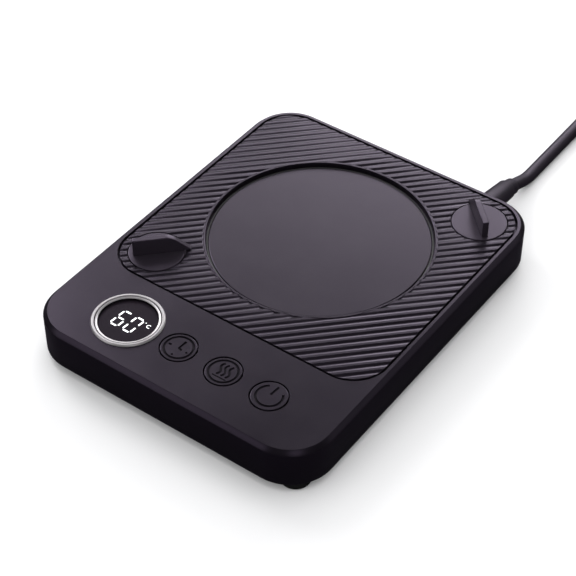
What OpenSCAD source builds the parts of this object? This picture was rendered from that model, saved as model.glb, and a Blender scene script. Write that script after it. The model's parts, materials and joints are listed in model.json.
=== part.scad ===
// Electric mug warmer: a low casing with a ribbed deck, a round heating plate sunk in it,
// a row of three buttons beside a round display, two quarter-turn latches and a mains lead.
// Millimetres, +Z up. The origin is on the table, under the middle of the casing.
// The controls are at the front (-Y) and the lead leaves at the back (+Y).

/* [Casing] */
// Width of the casing
body_w = 128; // [124:1:150]
// Depth of the casing, front to back
body_d = 163; // [158:1:185]
// Height of the casing, without its feet
body_h = 17; // [16.5:0.25:20]
// Radius of the casing's upright corners
corner_r = 18; // [16:0.5:22]
// Radius of the rounded top edge
edge_r = 2; // [1:0.25:2.5]
// Bevel along the lower edge of the skirt
skirt_bevel = 0.6; // [0.3:0.1:1]
// Thickness of the side walls
wall_t = 2; // [1.6:0.1:2.4]
// Thickness of the wall over the controls
top_t = 2.2; // [1.8:0.1:2.4]
// Thickness of the floor cover
cover_t = 2; // [1.8:0.1:2.4]
// Height of the lip round the floor cover
cover_lip_h = 1.3; // [0.8:0.1:1.4]
// Gap between the floor cover and the walls
cover_gap = 0.2; // [0.1:0.05:0.4]

/* [Deck] */
// Depth of the control strip in front of the deck
strip_d = 41.9; // [40:0.1:46]
// Width of the rim left round the deck, up to the middle of the seam
rim_w = 3.2; // [3:0.1:4]
// Width of the seam round the deck
seam_w = 0.6; // [0.4:0.1:1]
// Thickness of the deck
deck_t = 2.6; // [2.4:0.1:3]
// Distance from one rib to the next
rib_pitch = 3.3; // [2.8:0.1:5]
// Width of the groove between two ribs
groove_w = 2; // [1.2:0.1:2.4]
// Depth of the groove between two ribs
groove_deep = 0.8; // [0.4:0.1:0.9]
// Shift of the whole rib pattern across the ribs
rib_shift = 0.4; // [0:0.1:3]
// Width of the smooth lip round the plate's opening
lip_w = 1.1; // [0.8:0.1:1.6]
// Thickness of the shelf that carries the deck
shelf_t = 1.8; // [1.6:0.1:2]

/* [Heating plate] */
// Distance of the plate's middle behind the casing's middle
plate_y = 19.8; // [17:0.1:22]
// Radius of the opening in the deck
opening_r = 45; // [40:0.5:46]
// Gap round the heating plate, inside the opening
plate_gap = 1.2; // [0.8:0.1:3]
// Thickness of the heating plate
plate_t = 1.6; // [1.2:0.1:2]
// How far the plate lies below the rib tops
plate_drop = 1.6; // [1.2:0.1:1.8]
// Thickness of the silicone seal under the plate
seal_t = 0.8; // [0.6:0.1:1]
// Thickness of the heater film
film_t = 0.4; // [0.3:0.05:0.5]
// Thickness of the ledge that carries the plate
ledge_t = 1.8; // [1.6:0.1:2]
// Thickness of the steel retainer
retainer_t = 1.2; // [1:0.1:1.5]
// Distance of the plate's screws from its middle
stud_circle_r = 30; // [26:0.5:34]
// Radius of the studs under the plate
stud_r = 2.8; // [2.4:0.1:3.2]

/* [Controls] */
// Distance of the row of controls behind the front of the casing
row_y = 20.9; // [20:0.1:24]
// Distance of the display to the left of the casing's middle
display_x = 30.4; // [29:0.1:34]
// Distance of the middle button to the right of the casing's middle
heat_x = 14.1; // [13:0.1:17]
// Distance from one button to the next
button_pitch = 20.5; // [19:0.1:21]
// Radius of a button's cap
button_r = 6.8; // [6:0.1:7.2]
// Gap round a button's cap
button_gap = 0.65; // [0.3:0.05:0.8]
// Travel of a button
button_travel = 0.6; // [0.4:0.1:0.8]
// Radius of a button's inner ring groove
button_ring_r = 5.5; // [4.8:0.1:5.8]
// Outer radius of the display's bezel
bezel_r = 14; // [13:0.1:15]
// Height of the bezel above the casing
bezel_h = 0.8; // [0.5:0.1:1.2]
// Radius of the display's window
window_r = 11.3; // [10.5:0.1:11.5]
// Thickness of the display's window
window_t = 1.2; // [0.8:0.1:1.4]
// How far the window lies below the casing's top
window_drop = 0.6; // [0.1:0.1:0.8]

/* [Latches] */
// Radius of a latch's disc
latch_r = 11; // [9:0.1:12]
// Gap round a latch's disc
latch_gap = 0.4; // [0.3:0.1:0.6]
// Height of the grip blade above its disc
blade_h = 7.2; // [5:0.1:9]
// Thickness of the grip blade
blade_t = 2.5; // [1.6:0.1:3]
// Distance of the blade's square end from the latch's axis
blade_back = 9.2; // [7:0.1:10]
// Distance of the blade's pointed end from the latch's axis
blade_front = 13.5; // [11:0.1:14]
// Slope of the ramp down to the pointed end
blade_slope = 43; // [40:1:60]
// Radius of a latch's shaft
shaft_r = 4; // [3.6:0.1:4.4]
// Radial clearance of a latch's shaft
shaft_clearance = 0.08; // [0.05:0.01:0.1]
// Reach of the latch's cam from its axis
cam_reach = 7.6; // [6.6:0.1:8]

/* [Lead and feet] */
// Height of the feet under the casing
foot_h = 3.5; // [3:0.1:5]
// Radius of a foot
foot_r = 5.8; // [4.5:0.1:6]
// Diameter of the mains lead
lead_d = 5.4; // [5:0.1:5.6]
// Distance of the lead's exit from the casing's right side
lead_in = 25.7; // [24:0.1:28]
// Distance of the lead's exit below the casing's top
lead_down = 8.9; // [8.7:0.1:9.4]
// Radius of the strain relief at the casing
boot_r = 4.9; // [4.4:0.1:5.2]

/* [Hidden] */
$fn = 64;

// Heights
z_floor = foot_h;
z_top = foot_h + body_h;
z_cover = z_floor + cover_t;
z_under_top = z_top - top_t;
z_deck = z_top - deck_t;
z_under_shelf = z_deck - shelf_t;
z_plate = z_top - plate_drop;
z_under_plate = z_plate - plate_t;
z_seat = z_under_plate - seal_t;
z_under_ledge = z_seat - ledge_t;
z_film = z_under_plate - film_t;
z_retainer = z_under_ledge - retainer_t;
z_lead = z_top - lead_down;
lead_x = body_w / 2 - lead_in;

// Plan sizes
inner_w = body_w - 2 * wall_t;
inner_d = body_d - 2 * wall_t;
inner_r = corner_r - wall_t;
seam_d = body_d - strip_d - rim_w;
deck_w = body_w - 2 * rim_w - seam_w;
deck_d = seam_d - seam_w;
deck_r = corner_r - rim_w - seam_w / 2;
deck_y = body_d / 2 - rim_w - seam_d / 2;
pocket_w = deck_w + 2 * seam_w;
pocket_d = deck_d + 2 * seam_w;
pocket_r = deck_r + seam_w;
controls_y = row_y - body_d / 2;
button_xs = [heat_x - button_pitch, heat_x, heat_x + button_pitch];
groove_r = (groove_w * groove_w / 4 + groove_deep * groove_deep) / (2 * groove_deep);
shelf_overlap = 0.8;
snug = 0.05;

// The plate's seat
plate_r = opening_r - plate_gap;
well_gap = 0.9;
well_r = plate_r + well_gap;
well_wall = 2.1;
ledge_w = 3.7;
ledge_r = well_r - ledge_w;
pad_r = ledge_r - 0.4;
seal_lip_t = 0.55;
seal_lip_h = 1.2;
retainer_r = well_r - 0.7;
retainer_ribs = [16, 24];
retainer_rib_w = 1.5;
probe_r = 2.2;
probe_hole_r = 2.5;
lead_hole_r = 2.6;
lead_hole = [-24, 18];
thermal_fuse_at = [33, 5];
thermal_fuse_r = 2;
thermal_fuse_l = 9;
screw_r = 1.2;
screw_fit = 0.05;
small_head_r = 2.6;
small_head_h = 1.4;

// Buttons
flange_r = button_r + 1.1;
flange_t = 1;
flange_gap = 0.1;
stem_r = 2;
stem_h = 1.2;
ring_groove_w = 0.7;
ring_groove_deep = 0.3;
z_flange = z_under_top - flange_gap;
z_stem = z_flange - flange_t - stem_h;
dome_h = button_travel + 0.6;
z_switch = z_stem - dome_h;
switch_w = 6;
plunger_r = 1.75;
plunger_h = 0.5;
board_t = 1.6;
switch_h = 3.9;
z_board_top = z_switch - switch_h;
z_board = z_board_top - board_t;
board_w = inner_w - 12;
board_d = 24;
board_post = [board_w / 2 - 6, 9.5];
board_screw_l = 5.6;
post_r = 3;
chips = [[[-13.6, 4], [7, 7, 1.4]], [[6.4, -9], [5, 4, 1.2]]];
socket_y = 6;
socket_gap = 0.6;
socket_h = z_board - z_cover - socket_gap;
sockets = [[-board_w / 2 + 10, [8, 5, socket_h]], [-6, [6, 5, socket_h]]];
buzzer_x = -board_w / 2 + 5.5;
buzzer_r = 4.4;
buzzer_hole_r = 0.8;
buzzer_h = 5.5;

// Display
sleeve_r = 13;
sleeve_fit = 0.1;
sleeve_t = 1.1;
sleeve_low = 3.6;
module_size = [19, 12.7];
z_window = z_top - window_drop - window_t;
window_ledge_t = 0.6;
window_ledge_w = 0.8;

// Power board, which hangs under the shelf in the left rear corner
power_board_t = 1.6;
power_post_h = 1.6;
z_power_top = z_under_shelf - power_post_h;
z_power = z_power_top - power_board_t;
power_board_w = 26;
power_board_d = 24.5;
power_inset = 1.5;
power_mid = [-inner_w / 2 + power_inset + power_board_w / 2, inner_d / 2 - 2 - power_board_d / 2];
power_screw_l = 3.6;
power_space = z_power - z_cover - 1.2;
relay_size = [7.5, 11, power_space];
fuse_r = 2.5;
fuse_l = 8.5;
capacitor_r = 2.7;
capacitor_l = 9.5;
choke_r = 3.1;
choke_hole_r = 1.2;
choke_h = 5;
terminal_size = [6, 5.5, power_space - 0.2];

// Wires inside the casing, and the heights at which they run
wire_r = 0.9;
wire_apart = 1.1;
thin_wire_r = 0.6;
z_wires = z_cover + 3;
z_terminal = z_power - 3.4;
z_ribbon = z_cover + 1.4;
ribbon_w = 3.4;
ribbon_t = 0.8;

// Latches
latch_out = corner_r - rim_w;
latch_places = [
    [-body_w / 2 + rim_w + latch_out, -body_d / 2 + strip_d + latch_out],
    [body_w / 2 - rim_w - latch_out, body_d / 2 - rim_w - latch_out]
];
latch_turns = [45, 135];
disc_t = 1.7;
disc_bevel = 0.3;
blade_gap = 0.3;
blade_round = 6;
blade_flat = blade_front - (blade_h - blade_gap) / tan(blade_slope) - blade_round * tan(blade_slope / 2);
disc_under = 0.1;
cam_t = 1.6;
cam_gap = 0.2;
cam_w = 7;
square_w = 5.2;
square_fit = 0.05;
z_disc = z_top - disc_t;
z_cam_top = z_under_shelf - cam_gap;
z_cam = z_cam_top - cam_t;
cam_head_r = 3.2;
cam_head_h = 1.4;

// Case screws, and the bosses and posts that they join
case_screws_at = [
    [-40, -body_d / 2 + 5.5], [40, -body_d / 2 + 5.5],
    [-body_w / 2 + 6.5, -8], [body_w / 2 - 6.5, -8],
    [-20, body_d / 2 - 5.5], [20, body_d / 2 - 5.5]
];
case_post_r = 3.2;
case_head_r = 3.1;
case_head_h = 1.3;
case_shaft_r = 1.4;
counterbore = 1.6;
boss_r = 3.2;
boss_h = 1.5;
z_boss = z_cover + boss_h;
case_screw_l = 9;
foot_out = 11.8;
foot_recess = 0.6;
foot_plug_r = 3.8;
foot_gap = 0.15;
foot_round = 0.8;
slot_w = 2.2;
slot_l = 22;
slot_count = 8;
slot_pitch = 6;

// The lead's way out: through the wall, along the boot and to the end of its collar
lead_r = lead_d / 2;
relief_neck_r = 3.5;
relief_plate = [13, 2, 7.6];
boot_tip = [lead_x, body_d / 2 + 17.8, z_lead - 2.5];
collar_tip = [lead_x, body_d / 2 + 22.3, z_lead - 4];
boot_tip_r = 4.2;
collar_r = 3.5;
clamp_y = body_d / 2 - 6.5;
lead_end_y = body_d / 2 - 12;
clamp_d = 4;
clamp_screw_out = 6.5;
clamp_ear_t = 1.5;
clamp_hump_t = 1.1;

// The lead's route on the table, and the coil that takes up the rest of it
coil_mean_r = 30;
coil_lift = 0.8;
coil_columns = 3;
coil_layers = 2;
coil_r_in = coil_mean_r - coil_columns * lead_d / 2;
coil_r_out = coil_mean_r + coil_columns * lead_d / 2;
coil_outer_turn = 35.4;
coil_mid = [lead_x + coil_outer_turn, body_d / 2 + 118.5];
coil_top = coil_lift + coil_layers * lead_d;
tie_w = 8;
tie_t = 0.8;
// Distance behind the casing and height of each point, from the collar to the coil
lead_steps = [
    [26, 6.35], [28.5, 5.4], [30.5, 4.6], [32.5, 3.9], [34.5, 3.35], [36.5, 3], [38.5, 2.8],
    [42.5, 2.75], [52.5, 2.75], [64.5, 2.75], [76.5, 2.75], [88.5, 2.9], [98.5, 3.4]
];
route = concat([collar_tip, collar_tip + [0, 1.5, -0.5]],
    [for (p = lead_steps) [lead_x, body_d / 2 + p.x, p.y]]);
// Distance in front of the coil's middle and height of each point, from the coil to the plug
tail_steps = [
    [20, 8.9], [23.7, 8.6], [27.3, 7.6], [31.1, 5.8], [34.9, 4.05], [38.5, 3.1], [42.3, 2.8],
    [49, 2.75], [52.7, 3.1], [56.4, 4.1], [60, 5.5], [63.6, 6.5], [66, 6.75], [67, 6.8],
    [68.5, 6.8]
];
tail = [for (p = tail_steps) [coil_mid.x + coil_outer_turn, coil_mid.y - p.x, p.y]];

// Plug
plug_at = tail[len(tail) - 1];
plug_boot_l = 14;
plug_body_l = 26;
plug_w = 24;
plug_h = 13.6;
plug_round = 4;
pin_r = 2;
pin_l = 19;
pin_gap = 18.6;

// Colours
charcoal = [0.16, 0.15, 0.17];
dark = [0.09, 0.09, 0.1];
board_green = [0.08, 0.3, 0.16];
steel = [0.72, 0.73, 0.75];

// ---- Shapes used by several pieces ----

// Rounded rectangle
module round_rect(w, d, r) {
    square([w - 2 * r, d], center = true);
    square([w, d - 2 * r], center = true);
    for (x = [-1, 1], y = [-1, 1])
        translate([x * (w / 2 - r), y * (d / 2 - r)]) circle(r);
}

// Upright plate with a rounded rectangle for its outline
module slab(w, d, r, low, high) {
    translate([0, 0, low]) linear_extrude(high - low) round_rect(w, d, r);
}

// A section taken all round a rounded rectangle: x counts outwards from the corner's axis
module all_round(w, d, r) {
    for (turn = [0:3]) {
        out = (turn % 2 == 0 ? w : d) / 2 - r;
        along = (turn % 2 == 0 ? d : w) / 2 - r;
        rotate(90 * turn) translate([out, along, 0]) rotate_extrude(angle = 90) children();
        rotate(90 * turn) translate([out, along, 0]) rotate([90, 0, 0])
            linear_extrude(2 * along) children();
    }
}

// Ring between two radii and two heights
module ring(inner, outer, low, high) {
    translate([0, 0, low]) difference() {
        cylinder(r = outer, h = high - low);
        translate([0, 0, -1]) cylinder(r = inner, h = high - low + 2);
    }
}

module disc(r, low, high) {
    translate([0, 0, low]) cylinder(r = r, h = high - low);
}

// Straight round bar or taper from one point to another
module bar(from, to, r1, r2) {
    step = to - from;
    turn = atan2(step.y, step.x);
    tilt = acos(step.z / norm(step));
    translate(from) rotate([0, tilt, turn]) cylinder(r1 = r1, r2 = r2, h = norm(step));
}

// Pan-head screw that points up, its head's top face at z = 0
module screw(head_r, head_h, shaft_r, shaft_l) {
    difference() {
        translate([0, 0, -head_h]) cylinder(r = head_r, h = head_h);
        for (a = [0, 90]) rotate(a)
            translate([-head_r * 0.6, -head_r * 0.12, -head_h - 0.1])
                cube([head_r * 1.2, head_r * 0.24, 0.6]);
    }
    cylinder(r = shaft_r, h = shaft_l);
}

// Tube swept along a route, as one closed surface with the given number of sides. The route
// never runs along the direction called flat.
function route_way(p, i) = let(
    a = p[max(i - 1, 0)], b = p[min(i + 1, len(p) - 1)], d = b - a) d / norm(d);
function route_ring(p, i, r, sides, flat) = let(
    way = route_way(p, i), side = cross(way, flat) / norm(cross(way, flat)),
    up = cross(side, way))
    [for (k = [0:sides - 1]) p[i] + r * (side * cos(360 * k / sides) + up * sin(360 * k / sides))];
module swept_tube(p, r, sides, flat = [0, 0, 1]) {
    last = (len(p) - 1) * sides;
    points = [for (i = [0:len(p) - 1]) each route_ring(p, i, r, sides, flat)];
    walls = [for (i = [0:len(p) - 2], k = [0:sides - 1])
        let(a = i * sides, n = (k + 1) % sides) [a + k, a + n, a + sides + n, a + sides + k]];
    ends = [[for (k = [sides - 1:-1:0]) k], [for (k = [0:sides - 1]) last + k]];
    polyhedron(points = points, faces = concat(walls, ends));
}

module at_deck() {
    translate([0, deck_y, 0]) children();
}

module at_plate() {
    translate([0, plate_y, 0]) children();
}

module at_studs() {
    at_plate() for (a = [90, 210, 330]) rotate(a) translate([stud_circle_r, 0, 0]) children();
}

module at_latches() {
    for (place = latch_places) translate([place.x, place.y, 0]) children();
}

module at_board_posts() {
    for (x = [-1, 1], y = [-1, 1])
        translate([x * board_post.x, controls_y + y * board_post.y, 0]) children();
}

module at_power_posts() {
    for (s = [-1, 1])
        translate([power_mid.x - s * 9, power_mid.y - s * 8.5, 0]) children();
}

// ---- Casing ----

module shell_section() {
    difference() {
        union() {
            translate([corner_r - wall_t, z_floor]) square([wall_t, body_h - edge_r]);
            translate([0, z_under_top]) square([corner_r - edge_r, top_t]);
            translate([corner_r - edge_r, z_top - edge_r]) intersection() {
                circle(edge_r);
                translate([-edge_r, 0]) square([2 * edge_r, edge_r]);
            }
            translate([corner_r - wall_t - 1, z_under_top - 1]) square([2, 1]);
        }
        translate([corner_r, z_floor]) rotate(45) square(skirt_bevel * sqrt(2), center = true);
    }
}

function post_top(p) = p.y < strip_d - body_d / 2 ? z_under_top : z_under_shelf;

module upper_housing() {
    color(charcoal) difference() {
        union() {
            all_round(body_w, body_d, corner_r) shell_section();
            translate([0, 0, z_under_top + top_t / 2])
                cube([body_w - 2 * corner_r, body_d - 2 * corner_r, top_t], center = true);
            at_deck() slab(inner_w + shelf_overlap, pocket_d + 2 * wall_t - shelf_overlap,
                inner_r, z_under_shelf, z_top - edge_r);
            at_plate() disc(well_r + well_wall, z_under_ledge, z_deck);
            for (p = case_screws_at) translate([p.x, p.y, z_boss])
                cylinder(r = case_post_r, h = post_top(p) - z_boss + snug);
            at_board_posts() disc(post_r, z_board_top, z_under_top + snug);
            at_power_posts() disc(post_r, z_power_top, z_under_shelf + snug);
        }
        at_deck() slab(pocket_w, pocket_d, pocket_r, z_deck, z_top + 1);
        at_plate() disc(well_r, z_seat, z_top);
        at_plate() disc(ledge_r, z_under_ledge - 1, z_top);
        for (x = button_xs) translate([x, controls_y, 0])
            disc(button_r + button_gap, z_under_top - 1, z_top + 1);
        translate([-display_x, controls_y, 0])
            disc(sleeve_r + sleeve_fit, z_under_top - 1, z_top + 1);
        at_latches() disc(shaft_r + shaft_clearance, z_under_shelf - 1, z_deck + 1);
        translate([lead_x, body_d / 2 - wall_t - 1, z_lead]) rotate([-90, 0, 0])
            cylinder(r = relief_neck_r + 0.1, h = wall_t + 2);
        for (p = case_screws_at) translate([p.x, p.y, z_boss - 1])
            cylinder(r = case_shaft_r + screw_fit, h = case_screw_l + 0.3);
        at_board_posts() disc(screw_r + screw_fit, z_board_top - 1, z_board_top + 5);
        at_power_posts() disc(screw_r + screw_fit, z_power_top - 1, z_power_top + power_post_h + 0.8);
    }
}

module cover_section() {
    r = inner_r - cover_gap;
    translate([0, z_floor]) square([r, cover_t]);
    translate([r - 1.5, z_floor]) square([1.5, cover_t + cover_lip_h]);
}

module cover_slots() {
    for (i = [0:slot_count - 1], side = [-1, 1])
        translate([(i - (slot_count - 1) / 2) * slot_pitch, side * (slot_l / 2 + 3), z_floor - 1])
            linear_extrude(cover_t + 2) {
                square([slot_w, slot_l - slot_w], center = true);
                for (end = [-1, 1]) translate([0, end * (slot_l - slot_w) / 2]) circle(slot_w / 2);
            }
}

module at_feet() {
    for (x = [-1, 1], y = [-1, 1])
        translate([x * (body_w / 2 - corner_r), y * (body_d / 2 - corner_r), 0])
            rotate(atan2(y, x)) translate([foot_out, 0, 0]) children();
}

module floor_cover() {
    w = inner_w - 2 * cover_gap;
    d = inner_d - 2 * cover_gap;
    color(dark) difference() {
        union() {
            all_round(w, d, inner_r - cover_gap) cover_section();
            translate([0, 0, z_floor + cover_t / 2])
                cube([w - 2 * inner_r + 2 * cover_gap, d - 2 * inner_r + 2 * cover_gap, cover_t],
                    center = true);
            for (p = case_screws_at) translate([p.x, p.y, 0]) disc(boss_r, z_floor + 0.5, z_boss);
            for (s = [-1, 1]) translate([lead_x + s * clamp_screw_out, clamp_y, 0])
                disc(2.3, z_floor + 0.5, z_lead - 0.2);
            translate([lead_x - 3.2, clamp_y - clamp_d / 2, z_floor + 0.5])
                cube([6.4, clamp_d, z_lead - lead_r - z_floor - 0.5]);
        }
        for (p = case_screws_at) translate([p.x, p.y, 0]) {
            disc(case_shaft_r + 0.3, z_floor - 1, z_boss + 1);
            disc(case_head_r + 0.3, z_floor - 1, z_floor + counterbore);
        }
        for (s = [-1, 1]) translate([lead_x + s * clamp_screw_out, clamp_y, 0])
            disc(1.1 + screw_fit, z_cover, z_lead + 1);
        at_feet() disc(foot_plug_r + 0.1, z_floor - 1, z_floor + foot_recess);
        cover_slots();
    }
}

module rubber_feet() {
    top = z_floor - foot_gap;
    color([0.05, 0.05, 0.05]) at_feet() rotate_extrude() {
        square([foot_r - foot_round, top]);
        translate([0, foot_round]) square([foot_r, top - foot_round]);
        translate([foot_r - foot_round, foot_round]) circle(foot_round);
        square([foot_plug_r, z_floor + foot_recess]);
    }
}

module case_screws() {
    color(steel) for (p = case_screws_at) translate([p.x, p.y, z_floor + counterbore])
        screw(case_head_r, case_head_h, case_shaft_r, case_screw_l);
}

// ---- Ribbed deck ----

module deck_grooves() {
    reach = (body_w + body_d) / 2;
    steps = ceil(reach / rib_pitch);
    at_deck() rotate(45) for (i = [-steps:steps])
        translate([0, i * rib_pitch + rib_shift, z_top + groove_r - groove_deep])
            rotate([0, 90, 0]) cylinder(r = groove_r, h = 2 * reach, center = true, $fn = 20);
}

module ribbed_deck() {
    bevel = 0.2;
    color([0.2, 0.19, 0.21]) {
        difference() {
            at_deck() slab(deck_w, deck_d, deck_r, z_deck, z_top);
            deck_grooves();
            at_plate() disc(opening_r + lip_w / 2, z_deck - 1, z_top + 1);
            at_latches() disc(latch_r + latch_gap, z_disc - disc_under, z_top + 1);
            at_latches() disc(shaft_r + shaft_clearance, z_deck - 1, z_top);
        }
        at_plate() rotate_extrude() polygon([
            [opening_r, z_deck], [opening_r + lip_w, z_deck], [opening_r + lip_w, z_top - bevel],
            [opening_r + lip_w - bevel, z_top], [opening_r + bevel, z_top], [opening_r, z_top - bevel]
        ]);
    }
}

// ---- Heating plate and what is under it ----

module heating_plate() {
    round = 0.5;
    color([0.06, 0.06, 0.07]) difference() {
        union() {
            at_plate() rotate_extrude() {
                translate([0, z_under_plate]) square([plate_r, plate_t - round]);
                translate([0, z_under_plate]) square([plate_r - round, plate_t]);
                translate([plate_r - round, z_plate - round]) circle(round);
            }
            at_studs() disc(stud_r, z_under_ledge, z_under_plate + snug);
        }
        at_studs() disc(screw_r + screw_fit, z_under_ledge - 1, z_under_plate - 0.4);
    }
}

module plate_seal() {
    outer = well_r - 0.2;
    color([0.3, 0.3, 0.31]) at_plate() rotate_extrude() {
        translate([ledge_r, z_seat]) square([outer - ledge_r, seal_t]);
        translate([outer - seal_lip_t, z_seat]) square([seal_lip_t, seal_t + seal_lip_h]);
    }
}

module under_plate(r, low, high) {
    difference() {
        at_plate() disc(r, low, high);
        at_studs() disc(stud_r + 0.3, low - 1, high + 1);
        at_plate() translate([lead_hole.x, lead_hole.y, 0]) disc(lead_hole_r, low - 1, high + 1);
    }
}

module heater_film() {
    color([0.75, 0.5, 0.2]) difference() {
        at_plate() disc(pad_r, z_film, z_under_plate);
        at_studs() disc(stud_r + 0.3, z_film - 1, z_under_plate + 1);
    }
}

module insulation_pad() {
    color([0.85, 0.85, 0.82]) difference() {
        under_plate(pad_r, z_under_ledge, z_film);
        at_plate() disc(probe_hole_r, z_under_ledge - 1, z_film + 1);
    }
}

module plate_retainer() {
    color(steel) difference() {
        union() {
            at_plate() disc(retainer_r, z_retainer, z_under_ledge);
            for (r = retainer_ribs) at_plate()
                ring(r, r + retainer_rib_w, z_retainer - 0.6, z_retainer + snug);
        }
        at_studs() disc(screw_r + 0.3, z_retainer - 1, z_under_ledge + 1);
        at_plate() disc(probe_hole_r, z_retainer - 1, z_under_ledge + 1);
        at_plate() translate([lead_hole.x, lead_hole.y, 0])
            disc(lead_hole_r, z_retainer - 1, z_under_ledge + 1);
    }
}

module plate_screws() {
    color(steel) at_studs() translate([0, 0, z_retainer])
        screw(small_head_r, small_head_h, screw_r, z_under_plate - z_retainer - 0.8);
}

module thermistor() {
    color([0.9, 0.88, 0.8]) at_plate() {
        disc(probe_r, z_retainer - 0.5, z_film);
        disc(4.2, z_retainer - 1, z_retainer);
    }
}

module thermal_fuse() {
    color([0.85, 0.85, 0.86]) at_plate()
        translate([thermal_fuse_at.x, thermal_fuse_at.y, z_retainer - thermal_fuse_r - 0.1])
            rotate([0, 90, 90]) {
                cylinder(r = thermal_fuse_r, h = thermal_fuse_l);
                translate([0, 0, thermal_fuse_l])
                    cylinder(r1 = thermal_fuse_r, r2 = thermal_fuse_r / 2, h = 1.5);
            }
}

// ---- Controls ----

module display_bezel() {
    lip_in = window_r + 0.1;
    color([0.9, 0.9, 0.92]) translate([-display_x, controls_y, 0]) rotate_extrude() {
        // Sleeve through the casing
        translate([sleeve_r - sleeve_t, z_top - sleeve_low]) square([sleeve_t, sleeve_low + bezel_h / 2]);
        // Low inner step and raised outer band
        translate([lip_in, z_window - window_ledge_t])
            square([sleeve_r - lip_in, z_top + bezel_h / 2 - z_window + window_ledge_t]);
        translate([sleeve_r - sleeve_t / 2, z_top]) square([bezel_r - sleeve_r, bezel_h]);
        translate([bezel_r - bezel_h, z_top]) intersection() {
            circle(bezel_h);
            square(bezel_h);
        }
        // Ledge under the window
        translate([window_r - window_ledge_w, z_window - window_ledge_t])
            square([window_ledge_w + 0.2, window_ledge_t]);
    }
}

module display_window() {
    color([0.04, 0.04, 0.05]) translate([-display_x, controls_y, 0])
        disc(window_r, z_window, z_window + window_t);
}

module display_module() {
    top = z_window - window_ledge_t - 0.1;
    color([0.12, 0.12, 0.13]) translate([-display_x, controls_y, (z_board_top + top) / 2])
        cube([module_size.x, module_size.y, top - z_board_top], center = true);
}

module button(i) {
    color(charcoal) translate([button_xs[i], controls_y, 0]) difference() {
        union() {
            disc(button_r, z_flange - flange_t, z_top);
            disc(flange_r, z_flange - flange_t, z_flange);
            disc(stem_r, z_stem, z_flange);
        }
        if (i < 2) ring(button_ring_r - ring_groove_w / 2, button_ring_r + ring_groove_w / 2,
            z_top - ring_groove_deep, z_top + 1);
    }
}

module timer_button() {
    button(0);
}

module heat_button() {
    button(1);
}

module power_button() {
    button(2);
}

module dome(i) {
    color([0.8, 0.8, 0.78]) translate([button_xs[i], controls_y, z_switch])
        cylinder(r1 = 2.8, r2 = 1.9, h = dome_h);
}

module timer_dome() {
    dome(0);
}

module heat_dome() {
    dome(1);
}

module power_dome() {
    dome(2);
}

module tact_switches() {
    body_h = switch_h - plunger_h;
    color([0.15, 0.15, 0.16]) for (x = button_xs) translate([x, controls_y, z_board_top]) {
        translate([-switch_w / 2, -switch_w / 2, 0]) cube([switch_w, switch_w, body_h]);
        cylinder(r = plunger_r, h = switch_h);
    }
}

module control_board() {
    color(board_green) difference() {
        translate([0, controls_y, z_board + board_t / 2])
            cube([board_w, board_d, board_t], center = true);
        at_board_posts() disc(screw_r + 0.3, z_board - 1, z_board_top + 1);
    }
}

module control_chips() {
    color([0.1, 0.1, 0.1]) {
        for (c = chips) translate([heat_x + c[0].x, controls_y + c[0].y, z_board_top]) cube(c[1]);
        // Plug-in connectors under the board
        for (c = sockets) translate([c[0], controls_y + socket_y, z_board - socket_h]) cube(c[1]);
    }
}

module buzzer() {
    color([0.07, 0.07, 0.07]) translate([buzzer_x, controls_y, 0])
        ring(buzzer_hole_r, buzzer_r, z_board_top, z_board_top + buzzer_h);
}

module board_screws() {
    color(steel) at_board_posts() translate([0, 0, z_board])
        screw(small_head_r, small_head_h, screw_r, board_screw_l);
}

module power_board() {
    r = inner_r - power_inset;
    color(board_green) difference() {
        intersection() {
            slab(inner_w - 2 * power_inset, inner_d - 2 * power_inset, r, z_power, z_power_top);
            translate([power_mid.x, power_mid.y, z_power])
                cube([power_board_w, power_board_d, 10], center = true);
        }
        at_power_posts() disc(screw_r + 0.3, z_power - 1, z_power_top + 1);
    }
}

module power_board_screws() {
    color(steel) at_power_posts() translate([0, 0, z_power])
        screw(small_head_r, small_head_h, screw_r, power_screw_l);
}

module relay() {
    color([0.15, 0.3, 0.6]) translate([power_mid.x - 9.5, power_mid.y - 5, z_power - relay_size.z])
        cube(relay_size);
}

module fuse() {
    color([0.25, 0.2, 0.18]) translate([power_mid.x + 2, power_mid.y + 3.1, z_power - fuse_r - 0.1])
        rotate([0, 90, 0]) cylinder(r = fuse_r, h = fuse_l);
}

module capacitor() {
    color([0.1, 0.12, 0.3])
        translate([power_mid.x + 1.8, power_mid.y - 2.7, z_power - capacitor_r - 0.1])
        rotate([0, 90, 0]) cylinder(r = capacitor_r, h = capacitor_l);
}

module choke() {
    color([0.7, 0.4, 0.15]) translate([power_mid.x - 1, power_mid.y - 9, 0])
        ring(choke_hole_r, choke_r, z_power - choke_h, z_power);
}

module terminal_block() {
    color([0.1, 0.45, 0.3]) translate([power_mid.x + 6.5, power_mid.y - 11.5, z_power - terminal_size.z])
        cube(terminal_size);
}

// ---- Latches ----

// Side view of the grip blade: square at the rim of the deck, a round shoulder and a ramp
// towards the plate. Its pointed end passes over the deck.
module blade_outline() {
    polygon([
        [-blade_back, blade_gap], [-blade_back, blade_h], [blade_flat, blade_h],
        [blade_flat + blade_round * sin(blade_slope), blade_h - blade_round * (1 - cos(blade_slope))],
        [blade_front, blade_gap]
    ]);
    intersection() {
        translate([blade_flat, blade_h - blade_round]) circle(blade_round);
        translate([0, blade_gap]) square([blade_front, blade_h]);
    }
    translate([-blade_back, -snug]) square([blade_back + latch_r - 0.6, blade_gap + 2 * snug]);
}

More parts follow.
